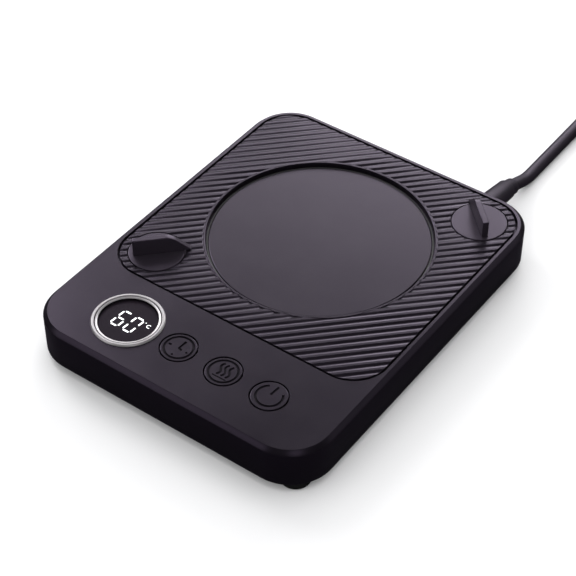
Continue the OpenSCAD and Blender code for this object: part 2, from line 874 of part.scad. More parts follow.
module latch_knob(i) {
    color([0.24, 0.23, 0.25])
    translate([latch_places[i].x, latch_places[i].y, 0]) rotate(latch_turns[i]) {
        difference() {
            union() {
                rotate_extrude() polygon([
                    [0, z_disc], [latch_r, z_disc], [latch_r, z_top - disc_bevel],
                    [latch_r - disc_bevel, z_top], [0, z_top]
                ]);
                disc(shaft_r, z_cam_top, z_disc + snug);
                translate([-square_w / 2, -square_w / 2, z_cam])
                    cube([square_w, square_w, z_disc - z_cam]);
                translate([0, blade_t / 2, z_top]) rotate([90, 0, 0])
                    linear_extrude(blade_t) blade_outline();
            }
            disc(screw_r + screw_fit, z_cam - 1, z_top - 1.5);
        }
    }
}

module left_latch() {
    latch_knob(0);
}

module right_latch() {
    latch_knob(1);
}

module cam(i) {
    hole = square_w + 2 * square_fit;
    color([0.3, 0.3, 0.31])
        translate([latch_places[i].x, latch_places[i].y, 0]) rotate(latch_turns[i] + 90)
        difference() {
            union() {
                for (end = [-1, 1]) translate([end * (cam_reach - cam_w / 2), 0, 0])
                    disc(cam_w / 2, z_cam, z_cam_top);
                translate([0, 0, z_cam + cam_t / 2])
                    cube([2 * cam_reach - cam_w, cam_w, cam_t], center = true);
            }
            translate([0, 0, z_cam]) cube([hole, hole, 3 * cam_t], center = true);
        }
}

module left_cam() {
    cam(0);
}

module right_cam() {
    cam(1);
}

module cam_screw(i) {
    color(steel) translate([latch_places[i].x, latch_places[i].y, z_cam])
        screw(cam_head_r, cam_head_h, screw_r, z_top - 2 - z_cam);
}

module left_cam_screw() {
    cam_screw(0);
}

module right_cam_screw() {
    cam_screw(1);
}

// ---- Mains lead ----

module strain_relief() {
    back = body_d / 2;
    wall_in = back - wall_t;
    root = [lead_x, back, z_lead];
    color(dark) {
        difference() {
            union() {
                bar(root - (boot_tip - root) * 0.15, boot_tip, boot_r, boot_tip_r);
                bar(boot_tip - (collar_tip - boot_tip) * 0.3, collar_tip, collar_r, collar_r);
            }
            translate([lead_x, back - 2 * boot_r, z_lead]) cube(4 * boot_r, center = true);
        }
        translate([lead_x, wall_in - snug, z_lead]) rotate([-90, 0, 0])
            cylinder(r = relief_neck_r, h = wall_t + 2 * snug);
        translate([lead_x - relief_plate.x / 2, wall_in - relief_plate.y, z_lead - relief_plate.z / 2])
            cube(relief_plate);
    }
}

module lead_end() {
    color(dark) translate([lead_x, lead_end_y, z_lead]) rotate([-90, 0, 0])
        cylinder(r = lead_r, h = body_d / 2 - lead_end_y - wall_t - relief_plate.y);
}

module cord_clamp() {
    w = 2 * clamp_screw_out + 5.4;
    top = z_lead + lead_r + clamp_hump_t;
    color([0.12, 0.12, 0.13]) difference() {
        union() {
            translate([lead_x - w / 2, clamp_y - clamp_d / 2, z_lead - 0.1])
                cube([w, clamp_d, clamp_ear_t]);
            translate([lead_x - 4, clamp_y - clamp_d / 2, z_lead - 0.1])
                cube([8, clamp_d, top - z_lead + 0.1]);
        }
        translate([lead_x, clamp_y - clamp_d, z_lead]) rotate([-90, 0, 0])
            cylinder(r = lead_r + 0.02, h = 2 * clamp_d);
        for (s = [-1, 1]) translate([lead_x + s * clamp_screw_out, clamp_y, 0])
            disc(1.4, z_lead - 1, z_lead + 5);
    }
}

module clamp_screws() {
    color(steel) for (s = [-1, 1])
        translate([lead_x + s * clamp_screw_out, clamp_y, z_lead - 0.1 + clamp_ear_t]) rotate([180, 0, 0])
            screw(2.2, 1.2, 1.1, clamp_ear_t + 4);
}

module mains_leads() {
    across = lead_end_y - 5;
    up_to = power_mid.y - 8.75;
    color([0.45, 0.25, 0.12]) for (out = [-wire_apart, wire_apart])
        swept_tube([
            [lead_x + out, lead_end_y, z_lead], [lead_x + out, lead_end_y - 3 - out, z_lead],
            [lead_x - 12, across - out, z_wires], [power_mid.x + 34, across - out, z_wires],
            [power_mid.x + 18, up_to - out, z_terminal], [power_mid.x + 12.5, up_to - out, z_terminal]
        ], wire_r, 8);
}

module heater_leads() {
    exit = [lead_hole.x, plate_y + lead_hole.y];
    start = [power_mid.x + 9.5, power_mid.y - 11.5];
    color([0.9, 0.9, 0.88]) for (out = [-1.2, 1.2])
        swept_tube([
            [start.x + out, start.y, z_terminal], [start.x + out, start.y - 2.5, z_terminal],
            [exit.x + out, exit.y + 2, z_retainer - 3.5], [exit.x + out, exit.y, z_retainer - 2],
            [exit.x + out, exit.y, z_film]
        ], thin_wire_r, 8, [1, 0, 0]);
}

module sensor_leads() {
    socket_end = controls_y + socket_y + 5;
    color([0.85, 0.85, 0.85]) for (out = [-1, 1])
        swept_tube([
            [out, plate_y, z_retainer - 1], [out, plate_y, z_retainer - 4],
            [out - 1, plate_y - 5, z_cover + 2.3], [out - 3, socket_end + 5, z_cover + 2.3],
            [out - 3, socket_end, z_cover + 2.3]
        ], thin_wire_r, 8, [1, 0, 0]);
}

module control_ribbon() {
    x = power_mid.x + 2.6;
    from = controls_y + socket_y + 5;
    to = power_mid.y - power_board_d / 2 + 0.5;
    color([0.75, 0.75, 0.77]) {
        translate([x, from, z_ribbon]) cube([ribbon_w, to - from, ribbon_t]);
        translate([x, to - 0.5, z_ribbon]) cube([ribbon_w, 0.5, z_power - z_ribbon]);
    }
}

// ---- Lead on the table ----

module power_cord() {
    color(dark) swept_tube(route, lead_r, 8);
}

module cord_coil() {
    color(dark) translate([coil_mid.x, coil_mid.y, 0]) ring(coil_r_in, coil_r_out, coil_lift, coil_top);
}

module cord_tail() {
    color(dark) swept_tube(tail, lead_r, 8);
}

module cord_ties() {
    color([0.1, 0.1, 0.1]) translate([coil_mid.x, coil_mid.y, 0]) rotate(60) intersection() {
        difference() {
            ring(coil_r_in - tie_t, coil_r_out + tie_t, 0, coil_top + tie_t);
            ring(coil_r_in, coil_r_out, coil_lift, coil_top);
        }
        translate([0, 0, coil_top / 2]) cube([3 * coil_r_out, tie_w, coil_top + 4], center = true);
    }
}

module plug_outline(w, l, r) {
    translate([-w / 2, 0]) square([w, l - r]);
    translate([-w / 2 + r, 0]) square([w - 2 * r, l]);
    for (s = [-1, 1]) translate([s * (w / 2 - r), l - r]) circle(r);
}

module plug_body() {
    front = plug_at.y - plug_boot_l - plug_body_l;
    color(dark) {
        difference() {
            translate([plug_at.x, front, plug_at.z - plug_h / 2]) linear_extrude(plug_h)
                plug_outline(plug_w, plug_body_l, plug_round + 4);
            // Grips pressed into the two sides
            for (s = [-1, 1]) translate([plug_at.x + s * (plug_w / 2 + 9), front + 12, 0])
                cylinder(r = 10, h = 40, center = true);
            for (s = [-1, 1]) translate([plug_at.x + s * pin_gap / 2, front - 1, plug_at.z])
                rotate([-90, 0, 0]) cylinder(r = pin_r + 0.02, h = 9);
        }
        bar(plug_at, [plug_at.x, front + plug_body_l - 1, plug_at.z], lead_r + 1, 5.4);
    }
}

module plug_pins() {
    front = plug_at.y - plug_boot_l - plug_body_l;
    color([0.85, 0.75, 0.45]) for (s = [-1, 1])
        translate([plug_at.x + s * pin_gap / 2, front + 7.9, plug_at.z]) rotate([90, 0, 0]) {
            cylinder(r = pin_r, h = pin_l + 7.9 - pin_r);
            translate([0, 0, pin_l + 7.9 - pin_r]) sphere(pin_r);
        }
}

upper_housing();
floor_cover();
ribbed_deck();
heating_plate();
plate_seal();
heater_film();
insulation_pad();
plate_retainer();
plate_screws();
thermistor();
thermal_fuse();
display_bezel();
display_window();
display_module();
timer_button();
heat_button();
power_button();
timer_dome();
heat_dome();
power_dome();
tact_switches();
control_board();
control_chips();
buzzer();
board_screws();
power_board();
relay();
fuse();
capacitor();
choke();
terminal_block();
power_board_screws();
left_latch();
right_latch();
left_cam();
right_cam();
left_cam_screw();
right_cam_screw();
rubber_feet();
case_screws();
strain_relief();
lead_end();
cord_clamp();
clamp_screws();
mains_leads();
heater_leads();
sensor_leads();
control_ribbon();
power_cord();
cord_coil();
cord_tail();
cord_ties();
plug_body();
plug_pins();
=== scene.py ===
import json
import math

import bmesh
import bpy
from mathutils import Matrix, Vector


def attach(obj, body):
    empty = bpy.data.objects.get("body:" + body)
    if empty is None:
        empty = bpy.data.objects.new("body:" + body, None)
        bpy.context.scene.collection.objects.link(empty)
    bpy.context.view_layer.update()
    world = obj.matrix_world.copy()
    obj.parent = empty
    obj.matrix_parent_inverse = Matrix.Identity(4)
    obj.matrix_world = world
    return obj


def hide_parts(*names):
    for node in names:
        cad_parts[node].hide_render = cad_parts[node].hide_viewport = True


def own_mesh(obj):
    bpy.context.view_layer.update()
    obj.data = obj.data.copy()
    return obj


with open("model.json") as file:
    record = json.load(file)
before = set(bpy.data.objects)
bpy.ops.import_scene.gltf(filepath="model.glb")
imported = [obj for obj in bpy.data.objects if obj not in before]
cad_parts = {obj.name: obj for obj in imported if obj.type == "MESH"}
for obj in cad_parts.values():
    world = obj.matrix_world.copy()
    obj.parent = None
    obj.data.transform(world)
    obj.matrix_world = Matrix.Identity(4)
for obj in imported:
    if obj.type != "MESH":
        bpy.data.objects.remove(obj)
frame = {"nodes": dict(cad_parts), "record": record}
cadNodes = frame["nodes"]
scene = bpy.context.scene
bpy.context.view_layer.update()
mm = 0.001
top = 20.5 * mm


def linked(name, data):
    made = bpy.data.objects.new(name, data)
    scene.collection.objects.link(made)
    return made


# Camera

cameraLook = {
    "place": (0.28166, -0.38980, 0.46201),
    "target": (-0.00526, 0.00567, 0.00029),
    "lens": 106.25, "sensor": 36, "farEnd": 20,
}


def makeCamera(look):
    data = bpy.data.cameras.new("productCamera")
    data.lens = look["lens"]
    data.sensor_width = look["sensor"]
    data.clip_end = look["farEnd"]
    camera = linked("productCamera", data)
    camera.location = look["place"]
    way = Vector(look["target"]) - Vector(look["place"])
    camera.rotation_euler = way.to_track_quat("-Z", "Y").to_euler()
    scene.camera = camera


makeCamera(cameraLook)
print("stage: camera")


# Mesh helpers

onBack = Matrix.Rotation(math.radians(90), 4, "X")
shading = {
    "sharp": math.radians(35), "bevelled": math.radians(40), "blade": math.radians(30),
    "levelNormal": 0.99999,
}
tiny = 1e-7


def linkMesh(name, bm, material=None):
    bmesh.ops.recalc_face_normals(bm, faces=bm.faces)
    mesh = bpy.data.meshes.new(name)
    bm.to_mesh(mesh)
    bm.free()
    calmShading(mesh)
    made = linked(name, mesh)
    if material:
        mesh.materials.append(material)
    return made


def boxVerts(bm, low, high):
    low, high = Vector(low), Vector(high)
    size = high - low
    place = Matrix.Translation((low + high) / 2) @ Matrix.Diagonal((*size, 1))
    return bmesh.ops.create_cube(bm, size=1, matrix=place)["verts"]


def edgesOf(verts):
    return list({e for v in verts for e in v.link_edges})


def bevelEdges(bm, edges, offset, segments=3):
    return bmesh.ops.bevel(bm, geom=edges, offset=offset, offset_type="OFFSET", segments=segments,
                           profile=0.5, affect="EDGES", clamp_overlap=True, material=-1)


def roundedBlock(bm, centre, width, depth, low, high, radius, topEdge=0, lowEdge=0, segments=16):
    # A block with rounded upright corners and, where asked, a chamfered top and a softened bottom edge
    cx, cy = centre
    verts = boxVerts(bm, (cx - width / 2, cy - depth / 2, low), (cx + width / 2, cy + depth / 2, high))
    upright = [e for e in edgesOf(verts) if abs(e.verts[0].co.z - e.verts[1].co.z) > (high - low) / 2]
    made = bevelEdges(bm, upright, radius, segments)
    faces = {f for v in made["verts"] for f in v.link_faces}
    edges = {e for f in faces for e in f.edges}
    for level, edge, steps in ((high, topEdge, 1), (low, lowEdge, 2)):
        if edge:
            # A rim edge joins one level face to one upright face
            rim = [e for e in edges if e.is_valid and all(abs(v.co.z - level) < tiny for v in e.verts)
                   and abs(sum(f.normal.z for f in e.link_faces)) < 1.5]
            bevelEdges(bm, rim, edge, steps)


def cylinder(bm, x, y, radius, low, high, segments=96):
    matrix = Matrix.Translation((x, y, (low + high) / 2))
    return bmesh.ops.create_cone(bm, cap_ends=True, segments=segments, radius1=radius, radius2=radius,
                                 depth=high - low, matrix=matrix)["verts"]


def turned(bm, profile, place=(0, 0, 0), steps=96, soft=None):
    # A profile of (radius, height) points spun about the upright axis through place
    older = set(bm.verts)

    def fresh():
        return [v for v in bm.verts if v not in older]

    verts = [bm.verts.new((r, 0, z)) for r, z in profile]
    edges = [bm.edges.new(pair) for pair in zip(verts, verts[1:])]
    if profile[0][0] > 0:
        edges.append(bm.edges.new((verts[-1], verts[0])))
    bmesh.ops.spin(bm, geom=verts + edges, cent=(0, 0, 0), axis=(0, 0, 1), angle=math.tau,
                   steps=steps, use_merge=True)
    bmesh.ops.remove_doubles(bm, verts=fresh(), dist=tiny)
    bmesh.ops.recalc_face_normals(bm, faces=list({f for v in fresh() for f in v.link_faces}))
    if soft:
        sharp = [e for e in edgesOf(fresh()) if len(e.link_faces) == 2
                 and e.calc_face_angle(0) > shading["sharp"]]
        bevelEdges(bm, sharp, soft, 2)
    bmesh.ops.translate(bm, verts=fresh(), vec=place)
    return fresh()


def built(name, shape, *sizes, material=None, matrix=None, **more):
    # An object with one shape, drawn by roundedBlock, boxVerts, cylinder or turned
    bm = bmesh.new()
    shape(bm, *sizes, **more)
    if matrix:
        bmesh.ops.transform(bm, verts=bm.verts, matrix=matrix)
    return linkMesh(name, bm, material)


def calmShading(mesh):
    # Smooth shading, with level flats left flat so that cut faces don't streak
    mesh.shade_smooth()
    mesh.set_sharp_from_angle(angle=shading["sharp"])
    for polygon in mesh.polygons:
        if abs(polygon.normal.z) > shading["levelNormal"]:
            polygon.use_smooth = False


def settled(target):
    # Bakes the modifiers into the mesh
    graph = bpy.context.evaluated_depsgraph_get()
    mesh = bpy.data.meshes.new_from_object(target.evaluated_get(graph))
    mesh.name = target.name
    target.modifiers.clear()
    target.data = mesh
    return target


def combine(target, others, operation="DIFFERENCE", selfCrossing=False):
    for other in others:
        change = target.modifiers.new("change", "BOOLEAN")
        change.operation = operation
        change.solver = "EXACT"
        change.use_self = selfCrossing
        change.material_mode = "TRANSFER"
        change.object = other
    settled(target)
    calmShading(target.data)
    for other in others:
        bpy.data.objects.remove(other)
    return target


def softenEdges(target, width, segments=2):
    change = target.modifiers.new("soften", "BEVEL")
    change.width = width
    change.segments = segments
    change.limit_method = "ANGLE"
    change.angle_limit = shading["bevelled"]
    change.use_clamp_overlap = True
    settled(target)
    calmShading(target.data)
    return target


def rods(name, lines, radius, roundness):
    # Round rods along polylines; a line whose flag is True is a closed loop
    curve = bpy.data.curves.new(name, "CURVE")
    curve.dimensions = "3D"
    curve.bevel_depth = radius
    curve.bevel_resolution = roundness
    curve.use_fill_caps = True
    for points, closed in lines:
        spline = curve.splines.new("POLY")
        spline.points.add(len(points) - 1)
        for target, point in zip(spline.points, points):
            target.co = (*point, 1)
        spline.use_cyclic_u = closed
    return linked(name, curve)


def strokes(name, lines, radius, material):
    # The same rods as a mesh
    drawn = rods(name, lines, radius, 3)
    graph = bpy.context.evaluated_depsgraph_get()
    mesh = bpy.data.meshes.new_from_object(drawn.evaluated_get(graph))
    bpy.data.objects.remove(drawn)
    made = linked(name, mesh)
    mesh.materials.clear()
    mesh.materials.append(material)
    return made


def arc(x, y, z, radius, start, end, steps):
    turns = [math.radians(start + (end - start) * i / steps) for i in range(steps + 1)]
    return [(x + radius * math.cos(t), y + radius * math.sin(t), z) for t in turns]


def finishPiece(piece, body, slotName, *replaced):
    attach(piece, body)
    if replaced:
        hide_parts(*replaced)
    return piece


# Shader nodes and shared groups

def feed(tree, node, values):
    # Each named socket takes another node's output, a colour or a plain value
    for key, value in values.items():
        socket = node.inputs[key]
        if isinstance(value, bpy.types.NodeSocket):
            tree.links.new(value, socket)
        else:
            socket.default_value = (*value, 1) if isinstance(value, tuple) else value
    return node


def fedNode(tree, kind, values):
    return feed(tree, tree.nodes.new("ShaderNode" + kind), values)


def mathNode(tree, operation, a, b, clamp=False):
    node = tree.nodes.new("ShaderNodeMath")
    node.operation = operation
    node.use_clamp = clamp
    return feed(tree, node, {0: a, 1: b}).outputs[0]


def times(tree, a, b):
    return mathNode(tree, "MULTIPLY", a, b)


def noiseNode(tree, vector, scale, detail=3, rough=0.5):
    values = {"Vector": vector, "Scale": scale, "Detail": detail, "Roughness": rough}
    return fedNode(tree, "TexNoise", values).outputs["Fac"]


def rampNode(tree, value, low, high, fromValue=0.0, toValue=1.0):
    values = {"Value": value, "From Min": low, "From Max": high, "To Min": fromValue, "To Max": toValue}
    return fedNode(tree, "MapRange", values).outputs["Result"]


def bumpNode(tree, height, strength, distance):
    values = {"Height": height, "Strength": strength, "Distance": distance}
    return fedNode(tree, "Bump", values).outputs["Normal"]


def mixColour(tree, factor, a, b):
    # Sockets 6 and 7 are the two colours, and output 2 is the mixed one
    node = tree.nodes.new("ShaderNodeMix")
    node.data_type = "RGBA"
    return feed(tree, node, {"Factor": factor, 6: a, 7: b}).outputs[2]


def newGroup(name, inputs, outputs):
    group = bpy.data.node_groups.new(name, "ShaderNodeTree")
    group.interface.new_socket("Vector", in_out="INPUT", socket_type="NodeSocketVector")
    for label, value in inputs.items():
        socket = group.interface.new_socket(label, in_out="INPUT", socket_type="NodeSocketFloat")
        socket.default_value = value
    for label, kind in outputs.items():
        group.interface.new_socket(label, in_out="OUTPUT", socket_type=kind)
    return group, group.nodes.new("NodeGroupInput").outputs, group.nodes.new("NodeGroupOutput")


grainLook = {"roughness": 0.6, "driftScale": 38, "driftRoughness": 0.55}
dustLook = {
    "patchScale": 55, "patchRoughness": 0.65, "patchRange": (0.42, 0.7), "patchShare": 0.35,
    "speckScale": 2600, "speckRange": (0.66, 0.74), "upward": (0.5, 1.0),
}
wearLook = {
    "edge": (0.51, 0.58), "breakScale": 260, "breakRoughness": 0.6, "breakRange": (0.4, 0.62),
}


def makeGrainGroup(look):
    # Moulded grain: a fine pebble in the normal, and a slow drift for colour and roughness
    group, put, out = newGroup("mouldedGrain", {"Pebble": 4200.0, "Height": 0.00001},
                               {"Normal": "NodeSocketVector", "Drift": "NodeSocketFloat"})
    pebbles = noiseNode(group, put["Vector"], put["Pebble"], 2, look["roughness"])
    drift = noiseNode(group, put["Vector"], look["driftScale"], 4, look["driftRoughness"])
    feed(group, out, {"Normal": bumpNode(group, pebbles, 1, put["Height"]), "Drift": drift})
    return group


def makeDustGroup(look):
    # Fine dust that lies on upward faces, thicker in slow patches
    group, put, out = newGroup("settledDust", {"Amount": 0.1}, {"Dust": "NodeSocketFloat"})
    shape = group.nodes.new("ShaderNodeNewGeometry")
    split = group.nodes.new("ShaderNodeSeparateXYZ")
    group.links.new(shape.outputs["Normal"], split.inputs["Vector"])
    up = rampNode(group, split.outputs["Z"], *look["upward"])
    clouds = noiseNode(group, put["Vector"], look["patchScale"], 5, look["patchRoughness"])
    patches = rampNode(group, clouds, *look["patchRange"])
    grains = noiseNode(group, put["Vector"], look["speckScale"], 1)
    specks = rampNode(group, grains, *look["speckRange"])
    both = mathNode(group, "ADD", times(group, patches, look["patchShare"]), specks, True)
    both = times(group, both, up)
    feed(group, out, {"Dust": times(group, both, put["Amount"])})
    return group


def makeWearGroup(look):
    # Handling wear: edges polished by use, found from the curvature of the mesh
    group, put, out = newGroup("edgeWear", {"Amount": 0.5}, {"Wear": "NodeSocketFloat"})
    shape = group.nodes.new("ShaderNodeNewGeometry")
    edge = rampNode(group, shape.outputs["Pointiness"], *look["edge"])
    clouds = noiseNode(group, put["Vector"], look["breakScale"], 4, look["breakRoughness"])
    worn = times(group, edge, rampNode(group, clouds, *look["breakRange"]))
    feed(group, out, {"Wear": times(group, worn, put["Amount"])})
    return group


grainGroup = makeGrainGroup(grainLook)
dustGroup = makeDustGroup(dustLook)
wearGroup = makeWearGroup(wearLook)


def useGroup(tree, group, vector, **values):
    node = tree.nodes.new("ShaderNodeGroup")
    node.node_tree = group
    return feed(tree, node, {"Vector": vector, **values}).outputs


# Materials

dustColour = (0.32, 0.31, 0.3)
noiseRange = (0.3, 0.7)
plasticLook = {"lift": 0.002, "roughDrift": 0.012, "polish": 0.12, "dull": 0.3}
metalLook = {
    "stretch": (60, 1400, 1400), "driftScale": 90, "roughDrift": (-0.05, 0.06), "darker": 0.9,
    "hairRoughness": 0.08, "hairDepth": 0.000002,
}
trimLook = {"cloudScale": 70, "darker": 0.93, "roughness": (0.31, 0.34), "metallic": 0.75}
circuitLook = {
    "laneScale": 330, "traces": (0.30, 0.34), "pads": (0.09, 0.07), "lane": (0.02, 0.17, 0.07),
    "mask": (0.01, 0.1, 0.045), "pad": (0.75, 0.72, 0.65), "roughness": 0.3,
}
glowLook = {"cloudScale": 700, "range": (0.88, 1.05), "roughness": 0.4}


def blankMaterial(name):
    made = bpy.data.materials.new(name)
    made.use_nodes = True
    tree = made.node_tree
    coords = tree.nodes.new("ShaderNodeTexCoord").outputs["Object"]
    return made, tree, tree.nodes["Principled BSDF"], coords


def plastic(name, colour, rough, height=0.000008, pebble=4200, dust=0.08, wear=0.3, drift=0.12,
            specular=0.5, sheen=(1, 1, 1)):
    # Polished where worn and duller where dusty
    look = plasticLook
    made, tree, shader, coords = blankMaterial(name)
    grain = useGroup(tree, grainGroup, coords, Pebble=float(pebble), Height=height)
    dusty = useGroup(tree, dustGroup, coords, Amount=dust)["Dust"]
    worn = useGroup(tree, wearGroup, coords, Amount=wear)["Wear"]
    lighter = tuple(min(1, c * (1 + drift) + look["lift"]) for c in colour)
    darker = tuple(c * (1 - drift) for c in colour)
    base = mixColour(tree, dusty, mixColour(tree, grain["Drift"], darker, lighter), dustColour)
    spread = look["roughDrift"]
    level = rampNode(tree, grain["Drift"], *noiseRange, rough - spread, rough + spread)
    level = mathNode(tree, "SUBTRACT", level, times(tree, worn, look["polish"]))
    level = mathNode(tree, "ADD", level, times(tree, dusty, look["dull"]), True)
    feed(tree, shader, {"Base Color": base, "Roughness": level, "Normal": grain["Normal"],
                        "Specular IOR Level": specular, "Specular Tint": sheen})
    return made


def metal(name, colour, rough, scratch=0.5):
    # Fine scratches that run along X
    look = metalLook
    made, tree, shader, coords = blankMaterial(name)
    stretch = fedNode(tree, "Mapping", {"Vector": coords, "Scale": Vector(look["stretch"])})
    hairs = noiseNode(tree, stretch.outputs["Vector"], 1, 2)
    drift = noiseNode(tree, coords, look["driftScale"])
    level = rampNode(tree, drift, *noiseRange, *(rough + change for change in look["roughDrift"]))
    lines = times(tree, hairs, look["hairRoughness"] * scratch)
    level = mathNode(tree, "ADD", level, lines)
    base = mixColour(tree, drift, tuple(c * look["darker"] for c in colour), colour)
    feed(tree, shader, {"Base Color": base, "Roughness": level, "Metallic": 1,
                        "Normal": bumpNode(tree, hairs, scratch, look["hairDepth"])})
    return made


def brightTrim(name, colour):
    # Plated plastic: mostly mirror, softened by a clouded film
    look = trimLook
    made, tree, shader, coords = blankMaterial(name)
    cloud = noiseNode(tree, coords, look["cloudScale"], 2)
    base = mixColour(tree, cloud, tuple(c * look["darker"] for c in colour), colour)
    level = rampNode(tree, cloud, *noiseRange, *look["roughness"])
    feed(tree, shader, {"Base Color": base, "Roughness": level, "Metallic": look["metallic"]})
    return made


def circuit(name):
    # Green solder mask with darker lanes and bare pads
    look = circuitLook
    made, tree, shader, coords = blankMaterial(name)
    lanes = tree.nodes.new("ShaderNodeTexVoronoi")
    lanes.distance = "CHEBYCHEV"
    feed(tree, lanes, {"Vector": coords, "Scale": look["laneScale"]})
    traces = rampNode(tree, lanes.outputs["Distance"], *look["traces"])
    pads = rampNode(tree, lanes.outputs["Distance"], *look["pads"])
    mask = mixColour(tree, traces, look["lane"], look["mask"])
    feed(tree, shader, {"Base Color": mixColour(tree, pads, mask, look["pad"]),
                        "Metallic": pads, "Roughness": look["roughness"]})
    return made


def glowing(name, colour, strength):
    # Lit segments that vary a little in brightness
    look = glowLook
    made, tree, shader, coords = blankMaterial(name)
    cloud = noiseNode(tree, coords, look["cloudScale"], 1)
    level = rampNode(tree, cloud, *noiseRange, *(share * strength for share in look["range"]))
    feed(tree, shader, {"Base Color": colour, "Emission Color": colour, "Emission Strength": level,
                        "Roughness": look["roughness"]})
    return made


violet = (0.85, 0.66, 1.0)
dark = {"dust": 0.03, "sheen": violet}
paint = {
    "casing_plastic": plastic("casingPlastic", (0.0024, 0.0019, 0.0030), 0.31, height=0.000006,
                              specular=0.58, **dark),
    "deck_plastic": plastic("deckPlastic", (0.0034, 0.0027, 0.0040), 0.35, height=0.000004,
                            specular=0.6, **dark),
    "latch_plastic": plastic("latchPlastic", (0.0145, 0.0118, 0.016), 0.38, height=0.000004,
                             specular=0.62, **dark),
    "button_plastic": plastic("buttonPlastic", (0.0034, 0.0027, 0.0040), 0.32, height=0.000006,
                              specular=0.6, **dark),
    "black_plastic": plastic("blackPlastic", (0.018, 0.018, 0.018), 0.5, height=0.000012, pebble=2600),
    "plate_coating": plastic("plateCoating", (0.0052, 0.0045, 0.0058), 0.36, height=0.000006,
                             pebble=6000, **dark),
    "silicone": plastic("sealSilicone", (0.03, 0.03, 0.032), 0.6, dust=0.14),
    "heater_film": plastic("heaterFilm", (0.5, 0.24, 0.05), 0.2, drift=0.25),
    "insulation": plastic("glassFelt", (0.72, 0.71, 0.66), 0.95, height=0.00012, pebble=1500),
    "steel": metal("zincSteel", (0.62, 0.63, 0.64), 0.3),
    "ceramic_bead": plastic("ceramicBead", (0.78, 0.76, 0.68), 0.55, height=0.00003),
    "thermal_fuse_metal": metal("drawnCan", (0.8, 0.8, 0.8), 0.22),
    "bright_trim": brightTrim("brightTrim", (0.56, 0.535, 0.555)),
    "dark_window": plastic("darkWindow", (0.0075, 0.0048, 0.0080), 0.42, height=0.0000006, dust=0.02,
                           specular=0.11, sheen=violet),
    "circuit_board": circuit("circuitBoard"),
    "relay_plastic": plastic("relayPlastic", (0.03, 0.08, 0.34), 0.3),
    "fuse_body": plastic("fuseBody", (0.3, 0.26, 0.2), 0.4),
    "capacitor_sleeve": plastic("capacitorSleeve", (0.02, 0.03, 0.13), 0.25),
    "copper": metal("copperWinding", (0.75, 0.33, 0.15), 0.28, 0.8),
    "terminal_plastic": plastic("terminalPlastic", (0.03, 0.22, 0.1), 0.45),
    "foot_rubber": plastic("footRubber", (0.006, 0.006, 0.006), 0.75, height=0.00002, pebble=1800),
    "lead_rubber": plastic("leadRubber", (0.0125, 0.0108, 0.0138), 0.48, pebble=1500, sheen=violet),
    "mains_insulation": plastic("mainsInsulation", (0.14, 0.06, 0.02), 0.35),
    "white_insulation": plastic("whiteInsulation", (0.75, 0.75, 0.73), 0.35),
    "ribbon_insulation": plastic("ribbonInsulation", (0.55, 0.55, 0.57), 0.35),
    "tie_nylon": plastic("tieNylon", (0.02, 0.02, 0.02), 0.85, height=0.00006, pebble=1200),
    "plug_plastic": plastic("plugPlastic", (0.012, 0.0108, 0.0132), 0.42, height=0.00001, pebble=2200),
    "pin_brass": metal("pinBrass", (0.8, 0.77, 0.68), 0.2),
}
# Painted shade for recesses: a dull, barely reflective copy of the dark plastic that lines the sign grooves
# and parts of the bezel
paintedGrooveShade = plastic("grooveShade", (0.0034, 0.0028, 0.004), 0.5, dust=0.02, wear=0, specular=0.14,
                    sheen=violet)
segmentGlow = glowing("segmentGlow", (0.97, 0.98, 1.0), 1.0)
print("stage: materials")


# Lead: one centreline from the collar through the coil to the plug

leadLook = {
    "radius": 2.7 * mm,
    "coilCentre": (73.7 * mm, 200 * mm),
    "coilRadii": (35.4 * mm, 30 * mm, 24.6 * mm),
    "layers": (3.5 * mm, 8.9 * mm),
    "turns": 5.5, "perTurn": 28, "roundness": 5,
    "stepsAcross": ((0.85, 1), (1.85, 2), (3.55, 3.7), (4.55, 4.7)), "stepUp": (2.7, 2.85),
    # The way to the coil and the way from it, as (y, z) in millimetres at one x each
    "routeX": 38.3,
    "route": [
        (103.8, 7.6), (105.3, 7.1), (107.5, 6.35), (110, 5.4), (112, 4.6), (114, 3.9), (116, 3.35),
        (118, 3), (120, 2.8), (124, 2.75), (134, 2.75), (146, 2.75), (158, 2.75), (170, 2.9),
        (180, 3.4), (190, 3.5),
    ],
    "tailX": 109.1,
    "tail": [
        (190, 8.9), (180, 8.9), (176.3, 8.6), (172.7, 7.6), (168.9, 5.8), (165.1, 4.05),
        (161.5, 3.1), (157.7, 2.8), (151, 2.75), (147.3, 3.1), (143.6, 4.1), (140, 5.5),
        (136.4, 6.5), (134, 6.75), (133, 6.8), (131.5, 6.8),
    ],
}


def easedStep(value, start, end):
    part = min(1, max(0, (value - start) / (end - start)))
    return part * part * (3 - 2 * part)


def coilPoint(look, turn):
    # Three rows inwards on the table, one step up, then three rows outwards on top
    outer, middle, inner = look["coilRadii"]
    rows = (outer, middle, inner, middle, outer)
    radius = outer + sum((after - before) * easedStep(turn, *step)
                         for before, after, step in zip(rows, rows[1:], look["stepsAcross"]))
    low, high = look["layers"]
    height = low + (high - low) * easedStep(turn, *look["stepUp"])
    angle = math.pi - math.tau * turn
    x, y = look["coilCentre"]
    return (x + radius * math.cos(angle), y + radius * math.sin(angle), height)


def makeLead(look):
    route = [Vector((look["routeX"], y, z)) * mm for y, z in look["route"]]
    tail = [Vector((look["tailX"], y, z)) * mm for y, z in look["tail"]]
    perTurn = look["perTurn"]
    coil = [Vector(coilPoint(look, i / perTurn)) for i in range(int(look["turns"] * perTurn) + 1)]
    points = route + coil + tail
    length = sum((b - a).length for a, b in zip(points, points[1:]))
    lead = rods("mainsLead", [(points, False)], look["radius"], look["roundness"])
    lead.data.materials.append(paint["lead_rubber"])
    return finishPiece(lead, "base", "lead_rubber", "power_cord", "cord_coil", "cord_tail"), points, length


lead, leadPoints, leadLength = makeLead(leadLook)
print("stage: lead")


# Casing

